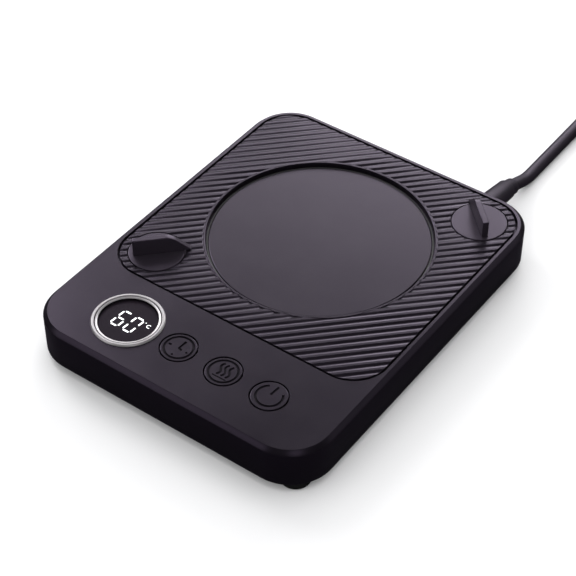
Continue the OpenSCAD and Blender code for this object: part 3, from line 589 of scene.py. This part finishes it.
casingLook = {
    "width": 128 * mm, "depth": 163 * mm, "low": 3.5 * mm, "corner": 18 * mm, "edge": 1.7 * mm,
    "skirt": 0.6 * mm, "soften": 0.3 * mm, "wall": 2 * mm, "underTop": 18.3 * mm,
    "underShelf": 16.1 * mm, "controlsRoom": (-60.5 * mm, 38 * mm), "controlsRoomLow": 15 * mm,
    "deckFloor": 17.9 * mm, "deckCentre": 19.35 * mm, "pocketAbove": 2 * mm,
    "pocket": (122.2 * mm, 118.5 * mm), "pocketCorner": 15.1 * mm,
    "plateY": 19.8 * mm, "wellRadius": 44.7 * mm, "wellWall": 2.1 * mm, "ledgeRadius": 41 * mm,
    "wellTop": 17 * mm, "seat": 16.5 * mm, "underLedge": 14.7 * mm,
    "controlsY": -60.6 * mm, "buttons": (-6.4 * mm, 14.1 * mm, 34.6 * mm), "buttonHole": 7.45 * mm,
    "display": -30.4 * mm, "displayHole": 13.1 * mm,
    "latches": ((-46 * mm, -24.8 * mm), (46 * mm, 63.5 * mm)), "shaftHole": 4.08 * mm,
    "leadHole": (38.3 * mm, 11.6 * mm, 3.6 * mm), "leadHoleHalf": 3 * mm,
    "topCut": (17 * mm, 22 * mm), "shelfCut": (15 * mm, 19 * mm), "ledgeCutLow": 10 * mm,
    "postTopFront": 18.35, "postTopBack": 16.15, "controlsEnd": -40,
}
# Posts for the screws, in millimetres; each hole has its radius, lower end and upper end
posts = (
    {"places": ((-40, -76), (40, -76), (-57.5, -8), (57.5, -8), (-20, 76), (20, 76)),
     "radius": 3.2, "low": 7, "hole": (1.45, 6, 15.3)},
    {"places": ((-50, -70.1), (50, -70.1), (-50, -51.1), (50, -51.1)),
     "radius": 3, "low": 10.9, "hole": (1.25, 9, 15.9)},
    {"places": ((-56.5, 56.75), (-38.5, 73.75)),
     "radius": 3, "low": 14.5, "hole": (1.25, 13, 16.9)},
)


def makeCasing(look, posts):
    width, depth = look["width"], look["depth"]
    casing = built("upperHousing", roundedBlock, (0, 0), width, depth, look["low"], top, look["corner"],
                   look["edge"], look["skirt"], 24, material=paint["casing_plastic"])
    roomWidth, roomDepth = width - 2 * look["wall"], depth - 2 * look["wall"]
    inner = look["corner"] - look["wall"]
    cavity = built("cavity", roundedBlock, (0, 0), roomWidth, roomDepth, 0, look["underShelf"], inner)
    middle, frontDepth = look["controlsRoom"]
    frontCavity = built("frontCavity", roundedBlock, (0, middle), roomWidth, frontDepth,
                        look["controlsRoomLow"], look["underTop"], inner)
    pocket = built("pocket", roundedBlock, (0, look["deckCentre"]), *look["pocket"], look["deckFloor"],
                   top + look["pocketAbove"], look["pocketCorner"], segments=20)
    combine(casing, [cavity, frontCavity, pocket])
    ring = built("wellRing", cylinder, 0, look["plateY"], look["wellRadius"] + look["wellWall"],
                 look["underLedge"], look["wellTop"], 128)
    pillars = []
    for post in posts:
        for x, y in post["places"]:
            high = look["postTopFront"] if y < look["controlsEnd"] else look["postTopBack"]
            pillars.append(built("post", cylinder, x * mm, y * mm, post["radius"] * mm, post["low"] * mm,
                                 high * mm, 32))
    combine(casing, [ring] + pillars, "UNION")
    cuts = [
        (0, look["plateY"], look["wellRadius"], look["seat"], top, 128),
        (0, look["plateY"], look["ledgeRadius"], look["ledgeCutLow"], top, 128),
    ]
    cuts += [(x, look["controlsY"], look["buttonHole"], *look["topCut"]) for x in look["buttons"]]
    cuts += [(look["display"], look["controlsY"], look["displayHole"], *look["topCut"])]
    cuts += [(x, y, look["shaftHole"], *look["shelfCut"], 48) for x, y in look["latches"]]
    for post in posts:
        radius, low, high = post["hole"]
        cuts += [(x * mm, y * mm, radius * mm, low * mm, high * mm, 24) for x, y in post["places"]]
    holes = [built("hole", cylinder, *cut) for cut in cuts]
    x, z, radius = look["leadHole"]
    half = look["leadHoleHalf"]
    holes.append(built("leadHole", cylinder, 0, 0, radius, -half, half, 48,
                       matrix=Matrix.Translation((x, depth / 2, z)) @ onBack))
    combine(casing, holes)
    softenEdges(casing, look["soften"])
    return finishPiece(casing, "base", "casing_plastic", "upper_housing")


makeCasing(casingLook, posts)
print("stage: casing")


# Ribbed deck

deckLook = {
    "size": (120.2 * mm, 116.5 * mm), "corner": 14.1 * mm, "low": 17.9 * mm, "centre": 19.35 * mm,
    "pitch": 3.3 * mm, "grooveWidth": 2.8 * mm, "grooveDepth": 0.33 * mm, "shift": 0.4 * mm,
    "ribAngle": 45, "cutReach": 120 * mm, "cutSpread": 100 * mm, "cutRise": 0.02 * mm,
    "cutAbove": 1 * mm,
    "opening": 45 * mm, "lip": 1.1 * mm, "lipEdge": 0.25 * mm, "soften": 0.2 * mm,
    "knobPocket": 11.4 * mm, "knobFloor": 18.6 * mm, "holeEnds": (10 * mm, 22 * mm),
}


def makeDeck(look, casing):
    width, depth = look["size"]
    deck = built("ribbedDeck", roundedBlock, (0, look["centre"]), width, depth, look["low"], top,
                 look["corner"], segments=20, material=paint["deck_plastic"])
    half, deep = look["grooveWidth"] / 2, look["grooveDepth"] + look["cutRise"]
    count, reach = int(look["cutSpread"] / look["pitch"]), look["cutReach"]
    steps = 8
    cut = bmesh.new()
    for i in range(-count, count + 1):
        # A groove whose sides run out softly into the ribs, like a wave
        middle = i * look["pitch"] + look["shift"]
        wave = []
        for k in range(-steps, steps + 1):
            fall = deep * math.cos(math.pi * k / (2 * steps)) ** 2
            wave.append(cut.verts.new((-reach, middle + half * k / steps, top + look["cutRise"] - fall)))
        above = top + look["cutAbove"]
        wave += [cut.verts.new((-reach, middle + side * half, above)) for side in (1, -1)]
        pulled = bmesh.ops.extrude_face_region(cut, geom=[cut.faces.new(wave)])["geom"]
        bmesh.ops.translate(cut, verts=[v for v in pulled if isinstance(v, bmesh.types.BMVert)],
                            vec=(2 * reach, 0, 0))
    bmesh.ops.transform(cut, verts=cut.verts, matrix=Matrix.Translation((0, look["centre"], 0))
                        @ Matrix.Rotation(math.radians(look["ribAngle"]), 4, "Z"))
    bmesh.ops.recalc_face_normals(cut, faces=cut.faces)
    grooves = linkMesh("grooves", cut)
    combine(deck, [grooves])
    through, above = look["holeEnds"]
    bores = [(0, casing["plateY"], look["opening"] + look["lip"] / 2, through)]
    bores += [(x, y, look["knobPocket"], look["knobFloor"]) for x, y in casing["latches"]]
    bores += [(x, y, casing["shaftHole"], through) for x, y in casing["latches"]]
    combine(deck, [built("hole", cylinder, *bore, above, 128) for bore in bores])
    softenEdges(deck, look["soften"])
    inner, outer = look["opening"], look["opening"] + look["lip"]
    profile = [(inner, look["low"]), (outer, look["low"]), (outer, top), (inner, top)]
    ring = built("deckLip", turned, profile, (0, casing["plateY"], 0), 160, look["lipEdge"],
                 material=paint["deck_plastic"])
    finishPiece(ring, "base", "deck_plastic")
    return finishPiece(deck, "base", "deck_plastic", "ribbed_deck")


makeDeck(deckLook, casingLook)
print("stage: deck")


# Heating plate and its seal

plateLook = {
    "radius": 43.8 * mm, "high": 18.9 * mm, "low": 17.3 * mm, "edge": 0.45 * mm,
    # The first and last boss's angles, and the steps between them
    "bossAngles": (90, 330, 2), "bossReach": 30 * mm, "bossRadius": 2.8 * mm,
    "bossEnds": (14.7 * mm, 17.4 * mm),
}


def makePlate(look, casing):
    bm = bmesh.new()
    place = (0, casing["plateY"], 0)
    turned(bm, [(0, look["low"]), (look["radius"], look["low"]), (look["radius"], look["high"]),
                (0, look["high"])], place, 160, look["edge"])
    for boss in arc(*place, look["bossReach"], *look["bossAngles"]):
        cylinder(bm, *boss[:2], look["bossRadius"], *look["bossEnds"], 32)
    plate = linkMesh("heatingPlate", bm, paint["plate_coating"])
    return finishPiece(plate, "base", "plate_coating", "heating_plate")


makePlate(plateLook, casingLook)
print("stage: plate")


# Display

displayLook = {
    "outer": 14 * mm, "inner": 11.4 * mm, "sleeve": 13 * mm, "sleeveWall": 1.1 * mm,
    "sleeveLow": 16.9 * mm, "ledgeLow": 18.1 * mm, "ledgeRadius": 10.5 * mm, "edge": 0.08 * mm,
    "windowRadius": 11.3 * mm, "windowLow": 18.7 * mm, "windowHigh": 19.9 * mm, "windowEdge": 0.1 * mm,
    # The bright crown in millimetres: inwards from its outer edge, or out from its inner edge, and up
    "crown": ((0, 0), (0, 0.3), (0.5, 0.8), (1.2, 0.8), (1.3, 0.3), (1.6, 0.3), (1.75, 0.65)),
    "slope": ((0.25, 0.45), (0, 0.3)), "groove": (1.28 * mm, 1.62 * mm), "wallReach": 0.06 * mm,
    "digitWidth": 4.2 * mm, "digitHeight": 8.7 * mm, "stroke": 0.66 * mm, "slant": 4.7,
    "uprightLength": 2.887 * mm, "levelLength": 2.707 * mm, "pointed": 0.42, "segmentRise": 0.05 * mm,
    "digitCentres": (-33.6 * mm, -27.75 * mm), "digitY": -60.87 * mm, "shown": "60",
    "degree": (-24.46 * mm, -57.32 * mm), "degreeRadius": 0.1 * mm, "markRadius": 0.14 * mm,
    "letter": (-22.45 * mm, -58.3 * mm), "letterRadius": 0.78 * mm, "letterEnds": (50, 320),
    "markThickness": 0.1,
}


def makeDisplay(look, casing):
    place = (casing["display"], casing["controlsY"], 0)
    outer, inner, sleeve = look["outer"], look["inner"], look["sleeve"]
    low, high = look["windowLow"], look["windowHigh"]
    profile = [(sleeve - look["sleeveWall"], look["sleeveLow"]), (sleeve, look["sleeveLow"]), (sleeve, top)]
    profile += [(outer - inwards * mm, top + up * mm) for inwards, up in look["crown"]]
    profile += [(inner + outwards * mm, top + up * mm) for outwards, up in look["slope"]]
    profile += [(inner, low), (look["ledgeRadius"], low), (look["ledgeRadius"], look["ledgeLow"]),
                (sleeve - look["sleeveWall"], look["ledgeLow"])]
    bezel = built("displayBezel", turned, profile, place, 128, look["edge"], material=paint["bright_trim"])
    # Painted shade: the wall round the window and the groove between the two bright rings take the dull,
    # dark groove material in place of the bright trim
    bezel.data.materials.append(paintedGrooveShade)
    grooveStart, grooveEnd = look["groove"]
    for polygon in bezel.data.polygons:
        reach = (polygon.center - Vector((*place[:2], polygon.center.z))).length
        wall = reach < inner + look["wallReach"] and polygon.center.z > low
        if wall or (grooveStart < outer - reach < grooveEnd and polygon.center.z > top):
            polygon.material_index = 1
    finishPiece(bezel, "base", "bright_trim", "display_bezel")
    profile = [(0, low), (look["windowRadius"], low), (look["windowRadius"], high), (0, high)]
    window = built("displayWindow", turned, profile, place, 96, look["windowEdge"],
                   material=paint["dark_window"])
    finishPiece(window, "base", "dark_window", "display_window")
    makeDigits(look)


def makeDigits(look):
    width, height, stroke = look["digitWidth"], look["digitHeight"], look["stroke"]
    spots = {
        "a": (0, height / 2 - stroke / 2, 0), "g": (0, 0, 0), "d": (0, -height / 2 + stroke / 2, 0),
        "f": (-width / 2 + stroke / 2, height / 4, 1), "b": (width / 2 - stroke / 2, height / 4, 1),
        "e": (-width / 2 + stroke / 2, -height / 4, 1), "c": (width / 2 - stroke / 2, -height / 4, 1),
    }
    lit = {"0": "abcdef", "1": "bc", "2": "abged", "3": "abgcd", "4": "fgbc", "5": "afgcd",
           "6": "afgedc", "7": "abc", "8": "abcdefg", "9": "abcdfg"}
    low, high = look["windowHigh"], look["windowHigh"] + look["segmentRise"]
    bm = bmesh.new()
    lean = Matrix.Identity(4)
    lean[0][1] = math.tan(math.radians(look["slant"]))
    for centre, digit in zip(look["digitCentres"], look["shown"]):
        for part in lit[digit]:
            x, y, upright = spots[part]
            w, d = (stroke, look["uprightLength"]) if upright else (look["levelLength"], stroke)
            verts = boxVerts(bm, (x - w / 2, y - d / 2, low), (x + w / 2, y + d / 2, high))
            ends = [e for e in edgesOf(verts) if abs(e.verts[0].co.z - e.verts[1].co.z) > tiny]
            made = bevelEdges(bm, ends, stroke * look["pointed"], 1)
            matrix = Matrix.Translation((centre, look["digitY"], 0)) @ lean
            bmesh.ops.transform(bm, verts=made["verts"], matrix=matrix)
    digits = linkMesh("displayDigits", bm, segmentGlow)
    finishPiece(digits, "base", "dark_window")
    x, y = look["degree"]
    lx, ly = look["letter"]
    z = (low + high) / 2
    lines = [(arc(x, y, z, look["degreeRadius"], 0, 315, 7), True),
             (arc(lx, ly, z, look["letterRadius"], *look["letterEnds"], 20), False)]
    marks = strokes("degreeMark", lines, look["markRadius"], segmentGlow)
    # Pressed nearly flat on the window
    flat = Matrix.Diagonal((1, 1, look["markThickness"], 1))
    marks.data.transform(Matrix.Translation((0, 0, z)) @ flat @ Matrix.Translation((0, 0, -z)))
    finishPiece(marks, "base", "dark_window")


makeDisplay(displayLook, casingLook)
print("stage: display")


# Buttons

buttonLook = {
    "radius": 6.8 * mm, "flange": 7.9 * mm, "stem": 2 * mm, "stemLow": 16 * mm, "flangeLow": 17.2 * mm,
    "flangeHigh": 18.2 * mm, "edge": 0.15 * mm, "ringRadius": 5.5 * mm, "line": 0.47 * mm,
}
# The signs' lines in millimetres from a button's middle
signLook = {
    "hands": ((0.5, 3.9), (0.25, -0.1), (1.8, -0.65)), "tick": ((-4.4, -0.45), (-3.1, -0.35)),
    "dots": ((3.9, -0.5), (0.1, -4.1)), "dotHalf": 0.45 * mm,
    "waves": (-1.55, 0.35, 2.3), "swing": 0.75, "waveTop": 3.6, "waveStep": 0.42,
    "base": ((-2.6, -3.4), (3.4, -3.3)), "baseRise": 0.28 * mm,
    "powerRadius": 5 * mm, "powerEnds": (124, 400), "bar": ((0.1, 0.8), (0.4, 5.4)),
}


def openLine(x, y, points, rise=0):
    return [(x + across * mm, y + along * mm, top + rise) for across, along in points], False


def ringLine(x, y):
    return arc(x, y, top, buttonLook["ringRadius"], 0, 352.5, 47), True


def clockLines(look, x, y):
    lines = [ringLine(x, y), openLine(x, y, look["hands"]), openLine(x, y, look["tick"])]
    half = look["dotHalf"]
    for dot in look["dots"]:
        spot = Vector(openLine(x, y, [dot])[0][0])
        lines.append(([spot - Vector((0, 0, half)), spot + Vector((0, 0, half))], False))
    return lines


def heatLines(look, x, y):
    lines = [ringLine(x, y)]
    steps, swing, drop = 14, look["swing"], look["waveStep"]
    for side in look["waves"]:
        wave = [(side - swing * math.sin(i / steps * math.tau), look["waveTop"] - i * drop)
                for i in range(steps + 1)]
        lines.append(openLine(x, y, wave))
    return lines + [openLine(x, y, look["base"], look["baseRise"])]


def powerLines(look, x, y):
    return [(arc(x, y, top, look["powerRadius"], *look["powerEnds"], 40), False),
            openLine(x, y, look["bar"])]


def makeButton(look, name, lines, x, y, body, node):
    profile = [(0, look["stemLow"]), (look["stem"], look["stemLow"]), (look["stem"], look["flangeLow"]),
               (look["flange"], look["flangeLow"]), (look["flange"], look["flangeHigh"]),
               (look["radius"], look["flangeHigh"]), (look["radius"], top), (0, top)]
    button = built(name, turned, profile, (x, y, 0), 96, look["edge"], material=paint["button_plastic"])
    # The signs are cut as grooves, lined with painted shade: the dull, dark groove material
    cutter = strokes(name + "Lines", lines, look["line"], paintedGrooveShade)
    combine(button, [cutter], selfCrossing=True)
    return finishPiece(button, body, "button_plastic", node)


controlsY = casingLook["controlsY"]
for x, sign, draw in zip(casingLook["buttons"], ("timer", "heat", "power"),
                         (clockLines, heatLines, powerLines)):
    makeButton(buttonLook, sign + "Button", draw(signLook, x, controlsY), x, controlsY, sign + "_key",
               sign + "_button")
print("stage: buttons")


# Quarter-turn latches

latchLook = {
    "radius": 11 * mm, "low": 18.8 * mm, "edge": 0.3 * mm, "bladeHeight": 7.2 * mm,
    "bladeWidth": 2.5 * mm, "bladeBack": 9.2 * mm, "bladeFront": 13.5 * mm, "bladeGap": 0.3 * mm,
    "rampTop": 6.1 * mm, "shoulder": 2.4 * mm, "bladeEdge": 0.4 * mm,
    "rootFront": 10.4 * mm, "rootInset": 0.1 * mm, "rootSunk": 0.6 * mm, "rootLap": 0.3 * mm,
    "shaft": 4 * mm, "shaftLow": 15.9 * mm,
    "squareHalf": 2.6 * mm, "squareLow": 14.3 * mm, "squareHigh": 16.9 * mm,
}


def makeLatch(look, name, place, turn, body, node):
    profile = [(0, look["shaftLow"]), (look["shaft"], look["shaftLow"]), (look["shaft"], look["low"]),
               (look["radius"], look["low"]), (look["radius"], top), (0, top)]
    disc = built(name, turned, profile, soft=look["edge"], material=paint["latch_plastic"])
    bm = bmesh.new()
    back, side = look["bladeBack"], look["bladeWidth"] / 2
    low, middle, high = top + look["bladeGap"], top + look["bladeHeight"] / 2, top + look["bladeHeight"]
    verts = boxVerts(bm, (-back, -side, low), (look["bladeFront"], side, high))
    peak = [v for v in verts if v.co.x > 0 and v.co.z > middle]
    for v in peak:
        v.co.x = look["rampTop"]
    bevelEdges(bm, [e for e in edgesOf(verts) if all(v in peak for v in e.verts)], look["shoulder"], 12)
    sharp = [e for e in bm.edges if e.calc_face_angle(0) > shading["blade"]
             and not all(v.co.z < low + tiny for v in e.verts)]
    bevelEdges(bm, sharp, look["bladeEdge"], 4)
    blade = linkMesh("blade", bm)
    inset, half = look["rootInset"], look["squareHalf"]
    root = built("root", boxVerts, (inset - back, inset - side, top - look["rootSunk"]),
                 (look["rootFront"], side - inset, low + look["rootLap"]))
    square = built("square", boxVerts, (-half, -half, look["squareLow"]), (half, half, look["squareHigh"]))
    combine(disc, [root, blade, square], "UNION")
    disc.data.transform(Matrix.Translation((*place, 0)) @ Matrix.Rotation(math.radians(turn), 4, "Z"))
    return finishPiece(disc, body, "latch_plastic", node)


makeLatch(latchLook, "leftLatch", casingLook["latches"][0], 45, "latch_left", "left_latch")
makeLatch(latchLook, "rightLatch", casingLook["latches"][1], 135, "latch_right", "right_latch")
print("stage: latches")


# Feet

footLook = {
    "radius": 5.8 * mm, "edge": 0.8 * mm, "height": 3.35 * mm, "plug": 3.8 * mm, "plugTop": 4.1 * mm,
    "soften": 0.2 * mm, "places": (54.34 * mm, 71.84 * mm),
}


def makeFeet(look):
    bm = bmesh.new()
    x, y = look["places"]
    profile = [(0, 0), (look["radius"] - look["edge"], 0), (look["radius"], look["edge"]),
               (look["radius"], look["height"]), (look["plug"], look["height"]),
               (look["plug"], look["plugTop"]), (0, look["plugTop"])]
    for sx in (-1, 1):
        for sy in (-1, 1):
            turned(bm, profile, (sx * x, sy * y, 0), 48, look["soften"])
    feet = linkMesh("rubberFeet", bm, paint["foot_rubber"])
    return finishPiece(feet, "base", "foot_rubber", "rubber_feet")


makeFeet(footLook)
print("stage: feet")


# Strain relief

bootLook = {
    "root": (38.3 * mm, 81.5 * mm, 11.6 * mm), "tip": (38.3 * mm, 99.3 * mm, 9.1 * mm),
    "collarTip": (38.3 * mm, 103.8 * mm, 7.6 * mm), "rootRadius": 4.9 * mm, "tipRadius": 4.2 * mm,
    "soften": 0.5 * mm, "wall": 2 * mm, "cutReach": 20 * mm, "neckLap": 0.1 * mm,
    "collarRadius": 3.5 * mm, "collarLap": 1.5 * mm, "collarSoften": 0.35 * mm,
    "neckRadius": 3.5 * mm, "plate": (13 * mm, 2 * mm, 7.6 * mm),
}


def alongMatrix(start, end):
    way = Vector(end) - Vector(start)
    return Matrix.Translation(start) @ way.to_track_quat("Z", "Y").to_matrix().to_4x4()


def makeBoot(look):
    root, tip, collar = Vector(look["root"]), Vector(look["tip"]), Vector(look["collarTip"])
    wall, lap, reach = look["wall"], look["neckLap"], look["cutReach"]
    length = (tip - root).length
    profile = [(0, -wall), (look["rootRadius"], -wall), (look["tipRadius"], length), (0, length)]
    boot = built("strainRelief", turned, profile, steps=64, soft=look["soften"],
                 matrix=alongMatrix(root, tip), material=paint["lead_rubber"])
    # The slanting boot is cut off where it meets the casing's back wall
    cut = built("wallCut", boxVerts, root - Vector((reach, reach, reach)), root + Vector((reach, 0, reach)))
    combine(boot, [cut])
    length, radius, start = (collar - tip).length, look["collarRadius"], -look["collarLap"]
    profile = [(0, start), (radius, start), (radius, length), (0, length)]
    ring = built("collar", turned, profile, steps=48, soft=look["collarSoften"],
                 matrix=alongMatrix(tip, collar))
    neck = built("neck", cylinder, 0, 0, look["neckRadius"], -lap, wall + lap, 48,
                 matrix=Matrix.Translation(root) @ onBack)
    w, d, h = look["plate"]
    plate = built("innerPlate", boxVerts, root + Vector((-w / 2, -wall - d, -h / 2)),
                  root + Vector((w / 2, -wall, h / 2)))
    combine(boot, [ring, neck, plate], "UNION")
    return finishPiece(boot, "base", "lead_rubber", "strain_relief")


boot = makeBoot(bootLook)
print("stage: strain relief")


# Plug, pins and the two straps round the coil

plugLook = {
    "x": 109.1 * mm, "front": 91.5 * mm, "z": 6.8 * mm, "width": 24 * mm, "length": 26 * mm,
    "height": 13.6 * mm, "shoulder": 8 * mm, "soften": 1.2 * mm,
    "grip": (21 * mm, 12 * mm, 10 * mm), "gripEnds": (-20 * mm, 40 * mm),
    "bootEnd": 131.5 * mm, "bootRadii": (5.4 * mm, 3.7 * mm), "bootLap": 1 * mm, "bootSoften": 0.5 * mm,
    "pinGap": 18.6 * mm, "pinRadius": 2 * mm, "pinLength": 19 * mm, "pinSunk": 7.9 * mm,
    "pinClearance": 0.02 * mm, "pinRounding": 0.8, "holeEnds": (-8 * mm, 2 * mm),
}


def makePlug(look):
    x, front, z = look["x"], look["front"], look["z"]
    w, h = look["width"] / 2, look["height"] / 2
    bm = bmesh.new()
    verts = boxVerts(bm, (x - w, front, z - h), (x + w, front + look["length"], z + h))
    shoulder = [e for e in edgesOf(verts) if all(v.co.y > front + tiny for v in e.verts)
                and abs(e.verts[0].co.z - e.verts[1].co.z) > tiny]
    bevelEdges(bm, shoulder, look["shoulder"], 12)
    body = linkMesh("plugBody", bm, paint["plug_plastic"])
    out, back, radius = look["grip"]
    combine(body, [built("grip", cylinder, x + side * out, front + back, radius, *look["gripEnds"])
                   for side in (-1, 1)])
    softenEdges(body, look["soften"], 4)
    start = Vector((x, front + look["length"] - look["bootLap"], z))
    end = Vector((x, look["bootEnd"], z))
    length = (end - start).length
    big, small = look["bootRadii"]
    profile = [(0, 0), (big, 0), (small, length), (0, length)]
    boot = built("plugBoot", turned, profile, steps=48, soft=look["bootSoften"],
                 matrix=alongMatrix(start, end))
    combine(body, [boot], "UNION")
    holes = []
    pins = bmesh.new()
    radius, length, sunk = look["pinRadius"], look["pinLength"], -look["pinSunk"]
    for side in (-1, 1):
        place = Matrix.Translation((x + side * look["pinGap"] / 2, front, z)) @ onBack
        holes.append(built("pinHole", cylinder, 0, 0, radius + look["pinClearance"], *look["holeEnds"],
                           40, matrix=place))
        made = turned(pins, [(0, sunk), (radius, sunk), (radius, length), (0, length)], steps=40)
        tip = [e for e in edgesOf(made) if all(abs(v.co.z - length) < tiny and v.co.xy.length > radius / 2
                                               for v in e.verts)]
        bevelEdges(pins, tip, radius * look["pinRounding"], 5)
        fresh = [v for v in pins.verts if v.co.xy.length < 2 * radius]
        bmesh.ops.transform(pins, verts=fresh, matrix=place)
    combine(body, holes)
    pair = linkMesh("plugPins", pins, paint["pin_brass"])
    finishPiece(pair, "base", "pin_brass", "plug_pins")
    return finishPiece(body, "base", "plug_plastic", "plug_body"), pair


strapLook = {
    "angle": 60, "width": 8 * mm, "thick": 0.8 * mm, "inner": 21.9 * mm, "outer": 38.1 * mm,
    "low": 0.8 * mm, "high": 11.6 * mm, "soften": 0.25 * mm,
}


def makeStraps(look, lead):
    t, inner, outer = look["thick"], look["inner"], look["outer"]
    half, low, high = look["width"] / 2, look["low"], look["high"]
    bands, cuts = bmesh.new(), bmesh.new()
    for turn in (look["angle"], look["angle"] + 180):
        place = Matrix.Translation((*lead["coilCentre"], 0)) @ Matrix.Rotation(math.radians(turn), 4, "Z")
        made = boxVerts(bands, (inner - t, -half, 0), (outer + t, half, high + t))
        bmesh.ops.transform(bands, verts=made, matrix=place)
        made = boxVerts(cuts, (inner, -2 * half, low), (outer, 2 * half, high))
        bmesh.ops.transform(cuts, verts=made, matrix=place)
    straps = linkMesh("coilStraps", bands, paint["tie_nylon"])
    combine(straps, [linkMesh("strapInside", cuts)])
    softenEdges(straps, look["soften"])
    return finishPiece(straps, "base", "tie_nylon", "cord_ties")


plug, pins = makePlug(plugLook)
straps = makeStraps(strapLook, leadLook)
print("stage: plug and straps")


# Everything else keeps its construction shape and takes a finish

slots = {s["node"]: s["material_slot"] for s in frame["record"]["subparts"]}
for name, piece in cadNodes.items():
    if piece.hide_render:
        continue
    piece.data.materials.clear()
    piece.data.materials.append(paint[slots[name]])
for name, joint in (("timer_dome", "timer_press"), ("heat_dome", "heat_press"),
                    ("power_dome", "power_press")):
    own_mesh(cadNodes[name])
print("stage: inner pieces")


# Floor and light

stageLook = {
    "floor": (0.80, 0.80, 0.808), "floorSeenByObject": (0.044, 0.0395, 0.05), "floorHalf": 3,
    "fibreScale": 900, "fibreDepth": 0.995, "roughness": 0.9, "shine": 0.1,
    "world": 0.9, "worldReflected": 0.045,
}
# Place, target, size in metres and power in watts
lightLook = {
    "leftBox": ((-0.62, 0.18, 0.42), (-0.03, 0, 0), (0.3, 0.45), 2.4),
    "cornerBox": ((-0.50, 0.62, 0.42), (-0.02, 0.04, 0), (0.35, 0.3), 1.3),
    "backBox": ((-0.12, 0.72, 0.35), (0.02, 0.03, 0), (0.6, 0.3), 2.2),
    "frontBox": ((-0.40, -0.60, 0.40), (0, -0.05, 0), (0.5, 0.35), 0.45),
    "rightBox": ((0.58, 0.54, 0.30), (0.05, 0.02, 0), (0.5, 0.3), 0.16),
    "noseBox": ((0.52, -0.50, 0.58), (0.05, -0.07, 0), (0.3, 0.3), 0.25),
    "farBox": ((-0.24, 0.84, 0.68), (0.06, 0.03, 0), (0.2, 0.2), 0.55),
    "overhead": ((0.1, 0.1, 1.6), (0, 0, 0), (1.4, 1.4), 6),
}


def makeStage(look):
    made, tree, shader, coords = blankMaterial("paperSweep")
    fibre = noiseNode(tree, coords, look["fibreScale"], 2)
    paper = mixColour(tree, fibre, tuple(c * look["fibreDepth"] for c in look["floor"]), look["floor"])
    feed(tree, shader, {"Base Color": paper, "Roughness": look["roughness"],
                        "Specular IOR Level": look["shine"]})
    # The camera sees the pale floor; the object sees a darker one, so that its sides stay deep
    unseen = fedNode(tree, "BsdfDiffuse", {"Color": look["floorSeenByObject"]})
    seen = tree.nodes.new("ShaderNodeLightPath").outputs["Is Camera Ray"]
    mix = fedNode(tree, "MixShader", {"Fac": seen, 1: unseen.outputs["BSDF"], 2: shader.outputs["BSDF"]})
    feed(tree, tree.nodes["Material Output"], {"Surface": mix.outputs["Shader"]})
    world = bpy.data.worlds.new("studio")
    world.use_nodes = True
    sky = world.node_tree
    glossy = sky.nodes.new("ShaderNodeLightPath").outputs["Is Glossy Ray"]
    level = rampNode(sky, glossy, 0, 1, look["world"], look["worldReflected"])
    feed(sky, sky.nodes["Background"], {"Color": (1, 1, 1), "Strength": level})
    scene.world = world
    bm = bmesh.new()
    bmesh.ops.create_grid(bm, x_segments=1, y_segments=1, size=look["floorHalf"])
    return linkMesh("floor", bm, made)


def makeLight(name, place, target, size, power):
    data = bpy.data.lights.new(name, "AREA")
    data.shape = "RECTANGLE"
    data.size, data.size_y = size
    data.energy = power
    light = linked(name, data)
    light.location = place
    light.rotation_euler = (Vector(target) - Vector(place)).to_track_quat("-Z", "Y").to_euler()
    return light


floor = makeStage(stageLook)
lights = [makeLight(name, *values) for name, values in lightLook.items()]
lights[-1].visible_glossy = False
scene.view_settings.view_transform = "Standard"
print("stage: floor and light")
